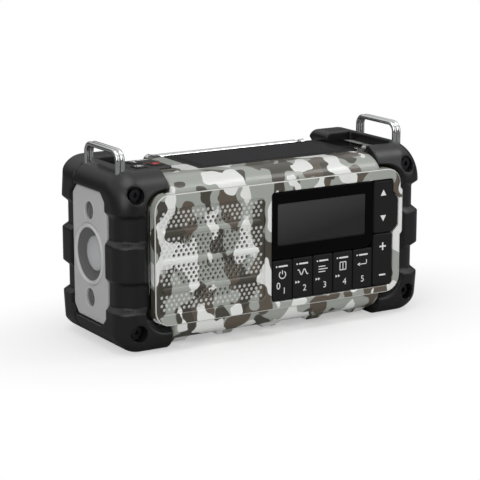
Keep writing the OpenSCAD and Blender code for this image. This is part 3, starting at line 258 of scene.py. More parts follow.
def facing(side, *shapes):
    """Shapes drawn flat, merged and turned to face one side of the radio."""
    points, faces = merge(*shapes)
    return points @ FACING[side].T, faces


# %% [markdown]
# ## Turned and bent pieces
# Lenses, knobs and tubes are lathe work: a profile of (radius, height) pairs revolved about an axis.
# Bails are bent wire: a circle carried along a path.

# %% Lathe and wire
def weld(points, quads):
    """Merges points that coincide, such as those at a pole, and drops the corners that vanish."""
    _, first, index = np.unique(np.round(points, 5), axis=0, return_index=True, return_inverse=True)
    faces = []
    for face in index.reshape(-1)[quads]:
        ring = [v for n, v in enumerate(face) if v != face[n - 1]]
        if len(ring) > 2:
            faces.append(tuple(ring))
    return points[first], faces


def lathe(profile, steps=48):
    """Closed profile of (radius, height) pairs revolved about the height axis."""
    r, h = np.asarray(profile, float).T[:, :, None]
    angle = around(steps)
    points = np.stack([r * np.cos(angle), r * np.sin(angle), h + 0 * angle], -1).reshape(-1, 3)
    on_axis = (r == 0) & (np.roll(r, -1, 0) == 0)
    return weld(points, grid_quads(len(r), steps, loop=True)[np.repeat(~on_axis.ravel(), steps)])


def wire(path, radius, steps=14):
    """A round wire along an open path that never runs along x: rings square to the path's direction."""
    path = np.asarray(path, float)
    ahead = unit(np.gradient(path, axis=0))
    side = unit(np.cross(ahead, [1, 0, 0]))
    up, angle = np.cross(ahead, side), around(steps)[:, None]
    rings = path[:, None] + radius * (np.cos(angle) * side[:, None] + np.sin(angle) * up[:, None])
    last = (len(path) - 1) * steps
    caps = [tuple(range(steps))[::-1], tuple(range(last, last + steps))]
    return rings.reshape(-1, 3), [tuple(f) for f in grid_quads(len(path), steps)] + caps


def arc_path(corners, r, steps=8):
    """An open path of straight runs in space, with its inner corners bent to a radius."""
    corners = np.asarray(corners, float)
    out, t = [corners[:1]], np.linspace(0, 1, steps + 1)[:, None]
    for a, c, b in zip(corners[:-2], corners[1:-1], corners[2:]):
        u, v = unit(a - c), unit(b - c)
        half = math.acos(u @ v) / 2
        reach, middle = r / math.tan(half), c + unit(u + v) * r / math.sin(half)
        out.append(middle + r * unit((1 - t) * (c + u * reach - middle) + t * (c + v * reach - middle)))
    return np.concatenate(out + [corners[-1:]])


# %% [markdown]
# ## Soft solids as level surfaces
# A rubber bumper has no sharp edge anywhere: each face flows into the next. Such a form is easy to write
# as a field, a function of x, y and z that is negative inside. Rounded intersections of simple fields give
# the fillets. The surface where the field is zero is then found on a grid: every cell that the surface
# passes gets one point, and neighbouring cells are joined by quads.

# %% Fields
def flat_box(u, v, hu, hv, r):
    """Distance to a rounded rectangle about the origin, negative inside."""
    qu, qv = np.abs(u) - hu + r, np.abs(v) - hv + r
    return np.hypot(np.maximum(qu, 0), np.maximum(qv, 0)) + np.minimum(np.maximum(qu, qv), 0) - r


def round_and(a, b, r):
    """Where two fields meet, the edge between them is rounded to the radius r."""
    return np.minimum(np.maximum(a, b), -r) + np.hypot(np.maximum(a + r, 0), np.maximum(b + r, 0))


def meet(*fields):
    """What all the fields share: the greatest of them."""
    return functools.reduce(np.maximum, fields)


def join(*fields):
    """What any of the fields holds: the least of them."""
    return functools.reduce(np.minimum, fields)


def cut(solid, *holes):
    """A field with others taken out of it."""
    return meet(solid, *(-h for h in holes))


# %% Level surfaces
def level_surface(field, lo, hi, step, pulls=3, nudge=0.02, least_slope=0.25, longest=0.4):
    """Closed mesh of the zero surface: one point per crossed cell, pulled onto the surface along the slope."""
    grid = np.meshgrid(*(np.arange(a - 1.5 * step, b + 2.5 * step, step) for a, b in zip(lo, hi)), indexing="ij")
    value = field(*grid)
    inside = value < 0
    cells = tuple(np.array(value.shape) - 1)
    total, count = np.zeros(cells + (3,)), np.zeros(cells)
    for axis, da, db in itertools.product(range(3), (0, 1), (0, 1)):
        near, far = ([da, db], [da, db])
        near.insert(axis, 0)
        far.insert(axis, 1)
        near, far = (tuple(slice(o, o + c) for o, c in zip(offset, cells)) for offset in (near, far))
        crossed = inside[near] != inside[far]
        gap = value[near] - value[far]
        t = np.where(crossed, value[near] / np.where(gap == 0, 1, gap), 0)
        for k in range(3):
            total[..., k] += crossed * (grid[k][near] + t * (grid[k][far] - grid[k][near]))
        count += crossed
    active = count > 0
    index = np.full(cells, -1)
    index[active] = np.arange(active.sum())
    points, tiny = total[active] / count[active][:, None], step * nudge
    for _ in range(pulls):
        slope = np.stack([(field(*(points + tiny * e).T) - field(*(points - tiny * e).T)) / (2 * tiny)
                          for e in np.eye(3)], 1)
        move = field(*points.T)[:, None] * slope / np.maximum(np.sum(slope ** 2, 1), least_slope)[:, None]
        points -= np.clip(move, -step * longest, step * longest)
    quads = []
    for axis in range(3):
        near, far = [slice(None)] * 3, [slice(None)] * 3
        near[axis], far[axis] = slice(None, -1), slice(1, None)
        crossed = inside[tuple(near)] != inside[tuple(far)]
        at, out = np.argwhere(crossed), inside[tuple(near)][crossed]
        ea, eb = np.roll(np.eye(3, dtype=int), -1 - axis, 0)[:2]
        corners = ((1, 1), (0, 1), (0, 0), (1, 0))
        ring = np.stack([index[tuple((at - s * ea - t * eb).T)] for s, t in corners], 1)
        ring[~out] = ring[~out][:, ::-1]
        quads.append(ring)
    return points, np.concatenate(quads)


# %% [markdown]
# ## Finishes
# Each material is named for the real one, or for the painted highlight, shade or reflection that it carries.
# Colours are written as sRGB hex values and turned linear by one function. One small function adds a node
# with its settings and links; a few short ones call it for the nodes that come up again and again.

# %% Material helpers
def linear(code):
    """An sRGB hex colour as linear RGBA."""
    c = np.array([int(code[i:i + 2], 16) for i in (1, 3, 5)]) / 255
    return tuple(np.where(c <= 0.04045, c / 12.92, ((c + 0.055) / 1.055) ** 2.4)) + (1.0,)


def put(tree, kind, links=(), **settings):
    """Adds one node. Settings name its properties or input sockets; links are (output socket, input name)."""
    node = tree.nodes.new("ShaderNode" + kind)
    for name, value in settings.items():
        if hasattr(node, name):
            setattr(node, name, value)
        else:
            node.inputs[name.replace("_", " ")].default_value = value
    for source, target in links:
        tree.links.new(source, node.inputs[target])
    return node


def noise(tree, where, scale, detail=2.0, **settings):
    """Noise with so many cycles a metre."""
    return put(tree, "TexNoise", [(where, "Vector")], Scale=scale, Detail=detail, **settings).outputs["Fac"]


def spread(tree, value, lo, hi, start=0.0, end=1.0):
    """A value between start and end, brought to between lo and hi."""
    limits = dict(From_Min=start, From_Max=end, To_Min=lo, To_Max=hi)
    return put(tree, "MapRange", [(value, "Value")], **limits).outputs["Result"]


def maths(tree, operation, a, b=None):
    """A sum on an output socket and a number or another socket."""
    node = put(tree, "Math", [(a, 0)], operation=operation)
    if isinstance(b, float):
        node.inputs[1].default_value = b
    elif b is not None:
        tree.links.new(b, node.inputs[1])
    return node.outputs[0]


def blend(tree, factor, low, high):
    """A mix of two colours, each a hex code or an output socket."""
    node = put(tree, "Mix", [(factor, "Factor")], data_type="RGBA")
    for place, colour in ((6, low), (7, high)):
        if isinstance(colour, str):
            node.inputs[place].default_value = linear(colour)
        else:
            tree.links.new(colour, node.inputs[place])
    return node.outputs[2]


def relief(tree, height, strength, mm):
    """Normals of a fine relief of the given height."""
    return put(tree, "Bump", [(height, "Height")], Strength=strength, Distance=mm / 1000).outputs["Normal"]


def new_material(name):
    """An empty node material, kept by its name, with its object coordinates."""
    finish[name] = bpy.data.materials.new(name)
    finish[name].use_nodes = True
    tree = finish[name].node_tree
    tree.nodes.clear()
    return tree, put(tree, "TexCoord").outputs["Object"]


def surface(tree, links, **settings):
    """The shader of a material, with what is linked to it."""
    shader = put(tree, "BsdfPrincipled", [(source, target.replace("_", " ")) for target, source in links.items()],
                 **settings)
    put(tree, "OutputMaterial", [(shader.outputs[0], "Surface")])


def moulded(name, colour, fade, rough, grain_mm, relief_mm, shine=0.5, metallic=0.0):
    """A moulded or worked surface: fine grain as relief, and slow drifts of tone and of gloss.

    grain_mm is the width of one grain and relief_mm the height given to it; shine is the share of light
    that the skin mirrors, 0.5 for a plain plastic."""
    tree, where = new_material(name)
    drift = noise(tree, where, 45.0, 3.0)
    links = dict(Base_Color=blend(tree, drift, colour, fade),
                 Roughness=spread(tree, drift, rough - 0.06, rough + 0.08),
                 Normal=relief(tree, noise(tree, where, 1000 / grain_mm), 0.5, relief_mm))
    surface(tree, links, Metallic=metallic, Specular_IOR_Level=shine)


# %% [markdown]
# ### Plain finishes
# One row a material: its colour, the tone it drifts to, roughness, width and height of the grain in mm,
# then the mirrored share and 1 for a metal where they differ from a plain plastic's.

# %% Plain finishes
plain_finishes = {
    "bumper_rubber": ("#161616", "#1b1b1b", 0.34, 0.7, 0.05, 0.42),
    "grey_abs": ("#b1b1b1", "#b9b9b9", 0.42, 0.8, 0.03, 0.35),
    "white_abs": ("#e2e3e1", "#dadbd8", 0.4, 0.8, 0.02, 0.35),
    # painted shade: the bezel's sunken cone, a darker copy of the panel's grey
    "painted_shade_grey_abs": ("#5a5a5a", "#626262", 0.4, 0.8, 0.03, 0.3),
    # painted highlight: the bezel's raised ring and the lamp rims, a lighter copy of the panel's grey
    "painted_highlight_grey_abs": ("#c0c0c0", "#c6c6c6", 0.32, 0.8, 0.02),
    "key_abs": ("#1b1b1b", "#1e1e1e", 0.45, 0.5, 0.04, 0.2),
    # painted highlight: pale white for the thin rim round the front plate's edge
    "painted_highlight_white_abs": ("#cdcdc9", "#d3d3cf", 0.34, 0.8, 0.01),
    "black_acrylic": ("#050506", "#070708", 0.12, 6.0, 0.004, 0.08),
    "white_ink": ("#ececec", "#e2e2e2", 0.5, 0.4, 0.01),
    "red_ink": ("#c8352f", "#d23c35", 0.5, 0.4, 0.01),
    "chrome_plate": ("#d4d5d6", "#dcdddd", 0.16, 4.0, 0.004, 0.5, 1.0),
    "turned_steel": ("#a3a4a6", "#b0b1b3", 0.3, 0.3, 0.01, 0.5, 1.0),
    "blackened_steel": ("#38393b", "#404144", 0.3, 0.4, 0.01, 0.5, 1.0),
    "sintered_brass": ("#b58d4c", "#a67f40", 0.35, 0.3, 0.02, 0.5, 1.0),
    "acetal": ("#ddd8c8", "#d4cebc", 0.38, 0.6, 0.02),
    "circuit_board": ("#1e5b36", "#194d2e", 0.35, 1.2, 0.02),
    "silicone": ("#4a4a4a", "#525252", 0.6, 0.8, 0.03),
    "paper_cone": ("#35322e", "#3d3a35", 0.85, 0.5, 0.08),
    "ferrite": ("#3d3d40", "#47474a", 0.6, 0.4, 0.05),
    "cell_sleeve": ("#8f959b", "#9aa0a6", 0.3, 2.0, 0.01),
    "silvered_plastic": ("#e6e6e6", "#efefef", 0.08, 3.0, 0.01, 0.5, 1.0),
    "silicon_cell": ("#101018", "#171722", 0.2, 2.0, 0.01),
}
for name, values in plain_finishes.items():
    moulded(name, *values)
print("plain finishes:", len(finish))


# %% [markdown]
# ### Camouflage print
# The shell is white ABS with a printed camouflage. Each colour is a field of noise, cut at a level so that
# its edges stay sharp, and later colours cover earlier ones. Blobs are about 12 mm wide and 22 mm tall, so
# the noise runs at about 70 cycles a metre across and half that upwards, and a second noise bends them.

# %% Camouflage
def camouflage():
    """Light grey green, then brown grey and dark olive blobs and white streaks, under a satin lacquer."""
    tree, where = new_material("printed_abs")
    bend = put(tree, "TexNoise", [(where, "Vector")], Scale=70.0, Detail=1.0)
    shift = put(tree, "VectorMath", [(bend.outputs["Color"], 0)], operation="SUBTRACT")
    shift.inputs[1].default_value = (0.5, 0.5, 0.5)
    small = put(tree, "VectorMath", [(shift.outputs[0], 0)], operation="SCALE", Scale=0.012)
    bent = put(tree, "VectorMath", [(where, 0), (small.outputs[0], 1)], operation="ADD").outputs[0]
    colour, blur = "#a3a7a0", 0.004
    layers = [("#5f574c", (7.7, 2.2, 5.3), 70.0, 0.55), ("#48453c", (1.3, 8.8, 4.2), 68.0, 0.56),
              ("#e8e9e6", (3.1, 0.4, 1.7), 86.0, 0.57)]
    for code, place, scale, level in layers:
        moved = put(tree, "Mapping", [(bent, "Vector")], Location=place, Scale=(1.0, 1.0, 0.55)).outputs[0]
        blobs = noise(tree, moved, scale, 0.6, Roughness=0.4)
        colour = blend(tree, spread(tree, blobs, 0.0, 1.0, level - blur, level + blur), colour, code)
    grain = noise(tree, where, 1400.0)
    links = dict(Base_Color=colour, Normal=relief(tree, grain, 0.25, 0.03), Roughness=spread(tree, grain, 0.28, 0.4))
    surface(tree, links, Specular_IOR_Level=0.35, Coat_Weight=0.2, Coat_Roughness=0.1)


camouflage()
print("finishes:", len(finish))


# %% [markdown]
# ### Clear plastic and the display
# The torch lens and small lamps are clear acrylic. The display is dark grey glass with a painted reflection:
# its colour is a ramp over the height, lighter towards the top.

# %% Lens and display
def clear_acrylic(name, colour, rough, clear):
    """Clear moulded plastic with a faint frosted grain."""
    tree, where = new_material(name)
    surface(tree, dict(Normal=relief(tree, noise(tree, where, 900.0), 0.3, 0.04)), Roughness=rough, IOR=1.49,
            Base_Color=linear(colour), Transmission_Weight=clear)


def display_glass():
    """Dark liquid crystal glass with a painted reflection: near black at the bottom, mid grey at the top right."""
    tree, where = new_material("lcd_glass_painted_reflection")
    lo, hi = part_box("lcd_module")
    turn = put(tree, "Mapping", [(where, "Vector")], Rotation=(0, math.radians(12), 0))
    split = put(tree, "SeparateXYZ", [(turn.outputs[0], 0)])
    height = spread(tree, split.outputs["Z"], 0.0, 1.0, lo[2], hi[2])
    gloss = spread(tree, noise(tree, where, 120.0), 0.14, 0.2)
    # painted reflection: the colour grows lighter towards the top right
    surface(tree, dict(Base_Color=blend(tree, height, "#2c2c2c", "#484848"), Roughness=gloss),
            Specular_IOR_Level=0.1)


clear_acrylic("frosted_acrylic", "#e4e6e8", 0.25, 0.5)
clear_acrylic("smoked_acrylic", "#b4b4b4", 0.2, 0.85)
display_glass()
print("finishes:", len(finish))

# %% [markdown]
# ## Bumpers
# Each end of the radio wears a rubber bumper, made as a front and a rear half that meet at a fine seam.
# Seen from the end it is a rounded loop; two recessed bands run round it, with sloped shoulders. The field
# carries a rounded edge round that loop, then subtracts the openings for plates, shell, panel and screws.

# %% Bumper sizes
front_lo, front_hi = node_box("right_bumper_front")
rear_lo, rear_hi = node_box("right_bumper_rear")
bumper_y0, bumper_y1, seam_y = front_lo[1], rear_hi[1], rear_lo[1]
bumper_half_w, bumper_h = front_hi[0], front_hi[2]
mid_y, mid_z = (bumper_y0 + bumper_y1) / 2, bumper_h / 2
half_d = (bumper_y1 - bumper_y0) / 2
fit, fine_r, soft_r, seam_gap = 0.3, 0.5, 0.7, 0.15
loop_rear_r, loop_top_r, loop_bottom_r = 8.0, 20.0, 10.0
edge_r, edge_gain, gain_from, gain_over = 11.0, 3.0, 28.0, 18.0
band_depth, band_half, band_offset, band_slope, band_lift = 2.5, 6.15, 17.9, 2.6, 0.2
plate_half_w, plate_half_h, plate_mid_z, plate_r, plate_room = 79.0, 35.5, mid_z + 1.2, 9.0, 1.0
lip_depth, lip_flare = 4.0, 0.9
block_x, bar_x, block_rear_r, block_front_r = front_lo[0], bumper_half_w - 14.0, 4.0, 0.8
front_block_end, shoulder_r, shoulder_edge, shoulder_z = bumper_y0 + 14.5, 3.0, 1.2, 2.7
stub_half_y, stub_half_z, stub_r, stub_inset = 25.0, 32.5, 4.0, 4.2
window_half, window_cut, window_depth = np.array([20.0, 36.5]), 5.0, 5.5
screw_x, screw_z, well_r, well_depth = bumper_half_w - 11.0, 37.0, 4.5, 7.0
tip_lo, tip_hi = node_box("antenna_tip")
antenna_y, antenna_z = (tip_lo[1] + tip_hi[1]) / 2, (tip_lo[2] + tip_hi[2]) / 2
notch_cos, notch_sin, notch_r = 0.866, 0.5, 3.4
tuning_lo, tuning_hi = node_box("tuning_rocker")
volume_lo, volume_hi = node_box("volume_rocker")
rest_z0, rest_z1 = tuning_lo[2] + 0.2, tuning_lo[2] + 22.5
rest_reach = tuning_hi[0] - volume_hi[0]
rest_x, rest_over, rest_room, rest_r, rest_edge = 60.0, 2.5, 3.5, 2.5, 0.6
print("bumper:", round(bumper_h, 1), "mm tall and", round(2 * half_d, 1), "mm deep")


# %% Bumper field
def on_band(z):
    """1 on the recessed bands, 0 on the blocks, with straight slopes between."""
    away = np.abs(np.abs(z - mid_z - band_lift) - band_offset)
    return np.clip((band_half + band_slope - away) / band_slope, 0, 1)


def bumper_field(x, y, z, right):
    """A bumper in one piece on the right, negative inside; only the real right one has the rest and the notch."""
    v, w, band = y - mid_y, z - mid_z, on_band(z)
    corner = np.where(v > 0, loop_rear_r, np.where(w > 0, loop_top_r, loop_bottom_r))
    loop = flat_box(v, w, half_d, mid_z, corner) + band_depth * band
    end = x - bumper_half_w + band_depth * band
    solid = round_and(loop, end, edge_r + edge_gain * np.clip((np.abs(w) - gain_from) / gain_over, 0, 1))
    lip = lip_flare * np.clip(bumper_y0 + lip_depth - y, 0, lip_depth) * (1 - band)
    plate = flat_box(x, z - plate_mid_z, plate_half_w + plate_room, plate_half_h + plate_room, plate_r + plate_room)
    solid = round_and(solid, lip - plate, soft_r)
    solid = round_and(solid, block_x - x, np.where(v > 0, block_rear_r, block_front_r))
    bar_y, bar_half = (front_block_end + seam_y) / 2, (seam_y - front_block_end) / 2
    shoulder = meet(flat_box(x, y - bar_y, bar_x, bar_half, shoulder_r), shoulder_z - z)
    solid = round_and(solid, -shoulder, shoulder_edge)
    if right:
        rest = flat_box(x - rest_x, z - (rest_z0 + rest_z1) / 2, plate_half_w + rest_over - rest_x,
                        (rest_z1 - rest_z0) / 2 + rest_room, rest_r)
        solid = round_and(solid, -meet(rest, y - bumper_y0 - lip_depth), rest_edge)
        dy, dz = y - antenna_y, z - antenna_z
        along, across = notch_cos * dy + notch_sin * dz, notch_sin * dy - notch_cos * dz
        notch = np.where(along > 0, np.abs(across), np.hypot(along, across)) - notch_r
        solid = round_and(solid, -notch, fine_r)
    stub = flat_box(v, w, stub_half_y + fit, stub_half_z + fit, stub_r + fit)
    solid = cut(solid, meet(x - bumper_half_w + stub_inset, stub))
    window = meet(np.abs(v) - window_half[0], np.abs(w) - window_half[1], bumper_half_w - window_depth - x,
                  (np.abs(v) + np.abs(w) - window_half.sum() + window_cut) / math.sqrt(2))
    solid = round_and(solid, -window, soft_r)
    well = meet(np.hypot(x - screw_x, np.abs(w) - screw_z) - well_r, y - bumper_y0 - well_depth)
    return round_and(solid, -well, fine_r)


# %% Bumpers
bumper_step = 0.75
for side in ("right", "left"):
    for half, turn, lo, hi in (("front", 1, front_lo, front_hi), ("rear", -1, rear_lo, rear_hi)):
        points, quads = level_surface(
            lambda x, y, z: round_and(bumper_field(x, y, z, side == "right"), turn * (y - seam_y) + seam_gap, soft_r),
            lo, hi, bumper_step)
        if side == "left":
            points, quads = points * [-1, 1, 1], quads[:, ::-1]
        node = f"{side}_bumper_{half}"
        piece(f"{node}_skin", (points, quads), "bumper_rubber", node)
        print(side, half, "bumper quads:", len(quads))

# %% [markdown]
# ## Shells
# The shell is a hollow moulding: a core between the corner blocks, a stretch behind the plates, wings
# between the blocks and stubs that carry the bumpers. Seen from the side, the core's upper and lower front
# edges are flat quarter ellipses. The same field, shrunk by the wall, gives the hollow. The front plate is
# added as a slab, because its openings for grille and keys are crisp.

# %% Shell sizes
shell_lo, shell_hi = node_box("front_shell")
plate_front, shell_front, plate_step = shell_lo[1], shell_lo[1] + 4.5, 1.15
rear_plate = node_box("rear_shell")[1][1]
shell_rear, seal_half = rear_plate - 11.0, 0.5
shell_z0, shell_z1 = shell_lo[2], shell_hi[2]
core_x, wing_x, stub_x = block_x - fit, bar_x - fit, shell_hi[0]
wing_y0, wing_y1 = front_block_end + fit, seam_y - fit
wall, top_wall, core_r, core_edge, wing_r, wing_edge = 2.4, 4.0, 4.0, 1.5, 3.0, 1.2
core_front, crown_y, crown_r, keel_y, keel_r = plate_front + plate_step, -22.0, 12.0, -21.25, 14.0
torch_bore, port_y, port_z, port_r, end_x = 12.7, 11.0, 13.0, 2.0, 80.0
feet_pitch, feet_z, foot_half_x, foot_half_y, foot_y, foot_root = 29.0, shell_z0 - 1.6, 4.2, 5.5, -20.5, 3.0
opening_x, opening_z, opening_r, opening_depth = 4.8, 2.9, 2.4, 4.0
crank_x, crank_z, dish_r, dish_edge, bush_r = 22.0, 45.0, 42.5, 0.8, 5.2
swivel_x, swivel_y, post_r, post_z, cup_r, cup_z = -40.0, rear_plate - 6, 2.1, 78.2, 4.8, 82.7
solar_lo, solar_hi = node_box("solar_window")
pad_lo, pad_hi = node_box("top_pad")
solar_r, solar_gap, pad_r = 2.0, 1.0, 3.0
door_lo, door_hi = node_box("battery_door")
door_r, door_lap, recess_edge, cells_lap, cells_r, rear_edge = 3.0, 0.4, 0.3, 2.3, 1.5, 1.2
bay_floor = node_box("battery_cells")[0][1] - fit
print("shell:", round(shell_z1 - shell_z0, 1), "mm tall, dish", 2 * dish_r, "mm wide")


# %% Shell field
def core_profile(y, z, inset, top):
    """Side view of the shell's middle: a box whose front edges are rounded by a quarter of an ellipse each."""
    front, rear = core_front + inset, shell_rear - inset
    z0, z1 = shell_z0 + inset, shell_z1 - top
    box = flat_box(y - (front + rear) / 2, z - (z0 + z1) / 2, (rear - front) / 2, (z1 - z0) / 2,
                   core_r - min(inset, wall))
    crown = np.hypot((y - crown_y) * crown_r / (crown_y - core_front), z - shell_z1 + crown_r) - crown_r
    keel = np.hypot((y - keel_y) * keel_r / (keel_y - core_front), z - shell_z0 - keel_r) - keel_r
    box = np.where((y < crown_y) & (z > shell_z1 - crown_r), meet(box, crown + max(inset, top)), box)
    return np.where((y < keel_y) & (z < shell_z0 + keel_r), meet(box, keel + inset), box)


def plate_field(x, z, less_x, less_z, less_r):
    """The plates' outline in x and z, smaller by the given amounts."""
    return flat_box(x, z - plate_mid_z, plate_half_w - less_x, plate_half_h - less_z, plate_r - less_r)


def shell_body(x, y, z, inset, top):
    """Outside of the shell without its plates, shrunk by an inset."""
    ym, yh = (shell_front + shell_rear) / 2, (shell_rear - shell_front) / 2 - inset
    z0, z1 = shell_z0 + inset, shell_z1 - top
    core = round_and(core_profile(y, z, inset, top), np.abs(x) - core_x + inset, core_edge)
    behind_plates = meet(plate_field(x, z, inset, inset, 1.0), np.abs(y - ym) - yh)
    wings = flat_box(x, y - (wing_y0 + wing_y1) / 2, wing_x - inset, (wing_y1 - wing_y0) / 2 - inset, wing_r)
    wings = round_and(wings, np.abs(z - (z0 + z1) / 2) - (z1 - z0) / 2, wing_edge)
    stubs = flat_box(y - mid_y, z - mid_z, stub_half_y - inset, stub_half_z - inset, stub_r)
    return join(core, behind_plates, wings, meet(stubs, np.abs(x) - stub_x + inset))


def box_field(u, v, lo, hi, gap, r):
    """Rounded rectangle about a node's box, seen along one axis and grown by a gap."""
    (cu, cv), (hu, hv) = (lo + hi) / 2, (hi - lo) / 2 + gap
    return flat_box(u - cu, v - cv, hu, hv, r)


def shell_field(x, y, z):
    """Hollow shell with the recesses of its top and ends, negative inside."""
    hollow = shell_body(x, y, z, wall, top_wall)
    solar = meet(box_field(x, y, solar_lo[:2], solar_hi[:2], fit, solar_r), solar_lo[2] - solar_gap - z)
    pad = meet(box_field(x, y, pad_lo[:2], pad_hi[:2], fit, pad_r), pad_lo[2] - z)
    torch_hole = meet(np.hypot(y - mid_y, z - mid_z) - torch_bore, x + end_x)
    port_hole = meet(flat_box(y - mid_y, z - mid_z, port_y, port_z, port_r), end_x - x)
    return cut(shell_body(x, y, z, 0, 0), hollow, solar, pad, torch_hole, port_hole)


def feet_field(x, y, z):
    """A row of five low feet under the front edge, tapered downwards, moulded with the shell."""
    off, up = np.abs(x - feet_pitch * np.clip(np.round(x / feet_pitch), -2, 2)), z - feet_z
    return meet(off - foot_half_x - up, np.abs(y - foot_y) - foot_half_y - 0.5 * up, -up, z - shell_z0 - foot_root)


def front_shell_field(x, y, z):
    """The shell in front of the seal, with its feet, open behind the plate's windows."""
    opening = meet(plate_field(x, z, opening_x, opening_z, opening_r), y - shell_front - opening_depth)
    return meet(cut(join(shell_field(x, y, z), feet_field(x, y, z)), opening), y + seal_half)


def rear_shell_field(x, y, z):
    """The shell behind the seal, with the rear plate, the crank's dish and the battery bay."""
    plate = round_and(plate_field(x, z, 0, 0, 0), y - rear_plate, rear_edge)
    from_crank = np.hypot(x - crank_x, z - crank_z)
    dish = meet(from_crank - dish_r, shell_rear - y)
    plate = round_and(meet(plate, shell_rear - wall - y), -dish, dish_edge)
    lo, hi = door_lo[[0, 2]], door_hi[[0, 2]]
    bay = meet(box_field(x, z, lo, hi, -door_lap, door_r), bay_floor - wall - y, y - shell_rear)
    solid = join(meet(shell_field(x, y, z), seal_half - y), plate, bay)
    recess = meet(box_field(x, z, lo, hi, fit, door_r), door_lo[1] - y)
    cells = meet(box_field(x, z, lo, hi, -cells_lap, cells_r), bay_floor - y)
    solid = round_and(cut(solid, cells), -recess, recess_edge)
    from_swivel = np.hypot(x - swivel_x, y - swivel_y)
    swivel = join(meet(from_swivel - post_r, post_z - z), meet(from_swivel - cup_r, cup_z - z))
    return cut(solid, from_crank - bush_r, swivel)


# %% [markdown]
# ### Front plate
# The plate that carries grille, display and keys has a rounded outline with a small bulge on the right,
# where the tuning rocker's finger rest reaches out. Its openings are slightly larger than what they hold.
# A rim half a millimetre wide runs round its edge in pale white, a painted highlight along the plate's edge.

# %% Front plate
grille_lap, rest_bend = 2.0, 0.5
grille_lo, grille_hi = node_box("speaker_grille")
grille_lo[0], grille_hi[0] = grille_lo[0] - grille_lap, grille_hi[0] + grille_lap
window_lo, window_hi = node_box("display_window")
key_boxes = [node_box(f"key_{i}") for i in range(1, 6)]


def bulged(lo, hi, r, reach, gap, bend=0.8):
    """Rectangle in x and z whose right side steps out by reach beside the finger rest, with sloped ends."""
    (x0, z0), (x1, z1), a, b = lo, hi, rest_z0 - gap, rest_z1 + gap
    step = [(x1, a), (x1 + reach, a + reach), (x1 + reach, b - reach), (x1, b)]
    return rounded([lo, (x1, z0), *step, hi, (x0, z1)], [r, r, rest_bend, bend, bend, rest_bend, r, r])


inset = bulged((window_lo[0] - fit, key_boxes[0][0][2] - 0.5), (volume_hi[0] + 0.5, window_hi[2] + fit),
               2.0, rest_reach, 0.6)
grille_edge = rectangle(grille_lo[[0, 2]], grille_hi[[0, 2]], 3.0)
plate_edge = bulged((-plate_half_w, plate_mid_z - plate_half_h), (plate_half_w, plate_mid_z + plate_half_h),
                    plate_r, 1.5, 2.5, bend=2.4)
rim_width, rim_depth = 0.5, 1.4
plate_slab = slab(plate_edge, -shell_front - 2.0, -plate_front, edge=0.55, holes=[inset, grille_edge],
                  hole_edge=0.45, steps=1)
# Its pale white finish is a painted highlight along the plate's edge.
painted_highlight_rim = slab(plate_edge, -plate_front - rim_depth, -plate_front, edge=0.45,
                 holes=[grown(plate_edge, -rim_width)], hole_edge=0.02, steps=1)
piece("painted_highlight_rim", facing("front", painted_highlight_rim), "painted_highlight_white_abs")

# %% Shells
shell_step = 1.05
front_shell = level_surface(front_shell_field, (-stub_x, plate_front, feet_z), (stub_x, 0, shell_z1), shell_step)
rear_shell = level_surface(rear_shell_field, (-stub_x, 0, shell_z0), (stub_x, rear_plate, shell_z1), shell_step)
piece("front_shell_skin", merge(front_shell, facing("front", plate_slab)), "printed_abs", "front_shell")
piece("rear_shell_skin", rear_shell, "printed_abs", "rear_shell")
print("shell quads:", len(front_shell[1]), len(rear_shell[1]))

# %% [markdown]
# ## Speaker grille
# Four bands of small holes, in a hexagonal layout, with smooth ridges between them. Over the speaker the
# holes go through; round it they are blind. A thin pierced plate in front of a second plate gives both, and
# the second plate stays bare white, because the print can't reach the bottom of a blind hole.

# %% Grille
hole_pitch, line_pitch, hole_r, hole_sides, edge_room = 3.0, 2.26, 0.96, 12, 4.82
row_start, row_less, basket_rim = 1.9, 3.6, 3.0
sieve_t, ridge_h, ridge_half, ridge_end = 0.5, 1.0, 1.7, 2.0
basket_lo, basket_hi = node_box("speaker_basket")
grille_mid = (grille_lo[[0, 2]] + grille_hi[[0, 2]]) / 2
grille_w, grille_h = grille_hi[[0, 2]] - grille_lo[[0, 2]]
band_pitch = (grille_h - 3 * line_pitch - edge_room) / 3
places = []
for band, count in enumerate([4, 5, 5, 4]):
    for line in range(count):
        z = (band - 1.5) * band_pitch + (line - (count - 1) / 2) * line_pitch
        shift = hole_pitch / 2 if (line + (band == 3)) % 2 == 0 else 0
        row = np.arange(int((grille_w - row_less - shift) // hole_pitch + 1))
        places += [(x, grille_mid[1] + z) for x in grille_lo[0] + row_start + shift + hole_pitch * row]
places = np.array(places)
is_open = np.linalg.norm(places - grille_mid, axis=1) < (basket_hi - basket_lo)[0] / 2 - basket_rim
holes = [disc(p, hole_r, hole_sides) for p in places]
face = -grille_lo[1] - ridge_h
sieve = slab(grille_edge, face - sieve_t, face, edge=0.02, holes=holes, hole_edge=0.15, steps=2)
backing = slab(grille_edge, -grille_hi[1], face - sieve_t, edge=0.05,
               holes=[h for h, through in zip(holes, is_open) if through], hole_edge=0.05, steps=1)
ridges = []
for k in (-1, 0, 1):
    middle = grille_mid + (0, k * band_pitch + k * line_pitch / 4)
    half = np.array([grille_w / 2 - ridge_end, ridge_half])
    ridges.append(slab(rectangle(middle - half, middle + half, 1.65), face - 0.3, face + ridge_h, edge=1.2, steps=6))
piece("speaker_grille_skin", facing("front", sieve, *ridges), "printed_abs", "speaker_grille")
piece("speaker_grille_backing", facing("front", backing), "white_abs")
print("grille holes:", len(places), "open:", int(is_open.sum()))


# %% [markdown]
# ## Display, keys and rockers
# The display window is a black acrylic sheet with the liquid crystal glass behind its opening. The keys
# and rockers are black mouldings with softly rounded edges and white printed marks.

# %% Printed marks
line_w, ink_t, ink_root = 0.5, 0.06, 0.03


